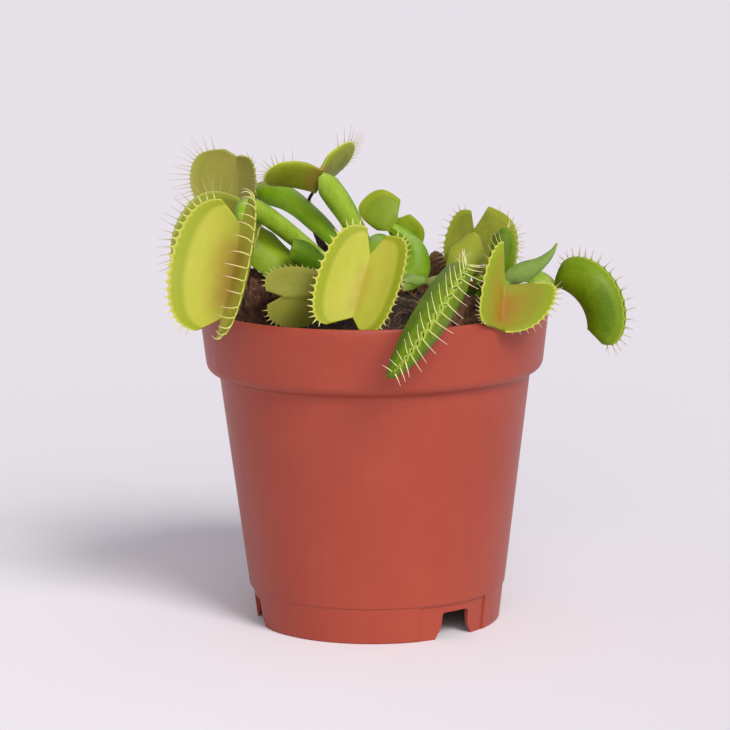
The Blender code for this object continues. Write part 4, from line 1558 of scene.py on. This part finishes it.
PLAIN_LEAVES = (
    Blade("blade_short_left", "leaf_short_left",
          ((-9, -8.5, 81), (-11.4, -10.5, 87), (-15, -12.5, 91.8), (-19.6, -14, 93.5)),
          6.6, (0, -1, 0.3), SHADE_PAINTED_GREEN, 70.0, 0.75, 0.5),
    Blade("blade_horned_right", "leaf_horned_right",
          ((30.4, -13, 82.7), (33, -15, 89), (39.5, -16, 86), (43.8, -16, 94.3)),
          5.2, (0, -1, 0.4), BLUISH, 60.0, 0.04, 0.4, peak=0.45),
    Blade("blade_small_right_1", "leaf_small_right_1",
          ((19.5, -8.5, 77.5), (19.5, -10, 79.5), (20, -12, 81), (21, -14, 82)),
          4.4, (0, -0.5, 1), SHADED, 40.0, 0.3),
    Blade("blade_small_right_2", "leaf_small_right_2",
          ((25.5, -8, 76.5), (27, -9, 78.5), (29, -10.5, 79.5), (31.5, -13, 78)),
          4.4, (0, -0.5, 1), SHADED, 40.0, 0.3),
    Blade("blade_pale_middle", "leaf_pale_middle",
          ((14.5, -6.5, 81.5), (13.5, -9.5, 85), (11, -13, 86.5), (7, -16, 85.5)),
          4.0, (0.3, -0.6, 1), BLUISH, 40.0, 0.35),
)

MOSS = CrumblyFinish("dried_moss", (0.13, 0.052, 0.022), (0.30, 0.16, 0.06), (0.045, 0.016, 0.008), 450.0)
DRY_MOSS = CrumblyFinish("dry_moss", (0.24, 0.11, 0.045), (0.42, 0.25, 0.11), (0.08, 0.030, 0.014), 450.0)
CLUMPS = (
    MossClump("moss_clump_left", (-28, -4), 8.5, 11.0, 110, MOSS),
    MossClump("moss_clump_back", (15, 22), 7.5, 10.0, 80, DRY_MOSS),
    MossClump("moss_clump_right", (24, -20), 8.0, 7.0, 110, DRY_MOSS),
)
CROWNS = (Crown("crown_middle", (0, 0), 6.0, 3.8), Crown("crown_right", (22, 0), 5.0, 3.6))

# Where a petiole is widest, as a share of its length, when that isn't near its trap.
PETIOLE_PEAKS = {"young_middle": 0.45, "top": 0.88, "wide_left": 0.7, "back_right": 0.65}


def petioles(traps: Sequence[Trap]) -> list[Blade]:
    """The petioles, each ending at the back of its trap's midrib.

    Args:
        traps: the traps that they carry.

    Returns:
        A blade for each petiole.
    """
    by_name = {trap.name: trap for trap in traps}
    made = []
    for name, route, width, face, roll, finish in PETIOLES:
        trap = by_name[name]
        neck = trap.origin + trap.along_axis * NECK_GAP - trap.mouth_axis * NECK_BEHIND
        blade = Blade(f"stalk_{name}", f"petiole_{name}", (*route, tuple(neck)), width, face, finish, roll)
        blade.peak = PETIOLE_PEAKS.get(name, blade.peak)
        made.append(blade)
    return made


# --- Studio ----------------------------------------------------------------------------------------


@dataclass(frozen=True)
class Lamp:
    """A distant light. Azimuth 0 is the front and grows to the right; width is the angle it spans."""

    name: str
    azimuth: float
    elevation: float
    strength: float
    width: float
    colour: Colour = (1.0, 0.985, 0.96)


@dataclass
class Studio:
    """A pale floor, soft light from all round, a key from the front right, a fill and the camera."""

    floor_radius: float = 9.0
    # Painted light: the first colour below is a painted pool of light round the spot at the front left; the
    # second is the floor further out.
    floor_painted_light: Colour = (0.78, 0.76, 0.80)
    floor_far: Colour = (0.715, 0.69, 0.735)
    painted_light_spot: Point = (-60.0, -50.0, 0.0)
    sky: Colour = (0.79, 0.75, 0.81)
    dimming: float = 0.58
    lamps: tuple[Lamp, ...] = (Lamp("key", 29.0, 40.0, 2.45, 22.0), Lamp("fill", 6.0, 9.0, 2.4, 60.0))
    camera_place: Point = (0.0, -836.15, 207.14)
    camera_pitch: float = 9.81
    camera_yaw: float = 0.163
    camera_roll: float = 0.67
    lens: float = 171.4

    def build(self) -> None:
        """Builds the floor, the lights and the camera."""
        self.build_floor()
        self.build_sky()
        for lamp in self.lamps:
            self.build_lamp(lamp)
        self.build_camera()

    def build_floor(self) -> None:
        """A wide round floor with a painted pool of light: lighter round a spot at the front left, a little
        darker further out.
        """
        bm = bmesh.new()
        bmesh.ops.create_circle(bm, cap_ends=True, segments=96, radius=self.floor_radius)
        mesh = bpy.data.meshes.new("studio_floor")
        bm.to_mesh(mesh)
        bm.free()
        material, graph, shader = new_material("floor_paper")
        distance = graph.node("ShaderNodeVectorMath", operation="DISTANCE")
        graph.put(distance.inputs[0], graph.place())
        distance.inputs[1].default_value = to_frame(self.painted_light_spot)
        fibre = graph.noise(graph.place(), 900.0, 3.0)
        # Painted light: the floor is lighter within about 0.2 m of the spot, a painted pool of light.
        colour = graph.mix(graph.step(distance.outputs["Value"], 0.04, 0.22), self.floor_painted_light, self.floor_far)
        colour = graph.mix(graph.times(fibre, 0.03), colour, self.floor_far)
        graph.put(shader.inputs["Base Color"], colour)
        graph.put(shader.inputs["Roughness"], graph.blend(fibre, 0.85, 0.95))
        set_inputs(shader, Specular_IOR_Level=0.1)
        mesh.materials.append(material)
        link_new("studio_floor", mesh)

    def build_sky(self) -> None:
        """An even pale surround."""
        world = bpy.data.worlds.new("surround")
        world.use_nodes = True
        graph = Graph(world.node_tree)
        background = world.node_tree.nodes["Background"]
        background.inputs["Color"].default_value = (*self.sky, 1.0)
        path = graph.node("ShaderNodeLightPath")
        shade = graph.blend(path.outputs["Is Diffuse Ray"], 1.0, self.dimming)
        graph.put(background.inputs["Strength"], shade)
        bpy.context.scene.world = world

    def build_lamp(self, lamp: Lamp) -> None:
        """One broad light; lamp gives its place and strength."""
        light = bpy.data.lights.new(lamp.name, "SUN")
        light.energy = lamp.strength
        light.angle = radians(lamp.width)
        light.color = lamp.colour
        source = link_new(lamp.name, light)
        across, up = radians(lamp.azimuth), radians(lamp.elevation)
        direction = Vector((sin(across) * cos(up), -cos(across) * cos(up), sin(up)))
        source.rotation_euler = direction.to_track_quat("Z", "Y").to_euler()

    def build_camera(self) -> None:
        """The camera at the front, a little above the plant."""
        data = bpy.data.cameras.new("camera")
        data.lens = self.lens
        data.sensor_width = 36.0
        data.clip_start = 0.01
        data.clip_end = 50.0
        camera = link_new("camera", data)
        pitch = Matrix.Rotation(radians(90.0 - self.camera_pitch), 4, "X")
        yaw = Matrix.Rotation(radians(self.camera_yaw), 4, "Z")
        roll = Matrix.Rotation(radians(-self.camera_roll), 4, "Z")
        camera.matrix_world = Matrix.Translation(to_frame(self.camera_place)) @ yaw @ pitch @ roll
        bpy.context.scene.camera = camera


def main() -> None:
    """Builds every piece in order and logs each one."""
    logging.basicConfig(level=logging.INFO, format="%(name)s: %(message)s")
    bpy.context.scene.view_settings.view_transform = "Standard"
    effects = Effects()
    Studio().build()
    Pot().build(effects)
    bed = GrowingMedium()
    bed.build(effects)
    for clump in CLUMPS:
        clump.build(effects, bed)
    for crown in CROWNS:
        crown.build(effects, bed)
    FlowerStalk().build(effects)
    for blade in [*petioles(TRAPS), *PLAIN_LEAVES]:
        blade.build(effects)
    for trap in TRAPS:
        trap.build(effects)


if __name__ == "__main__":
    main()
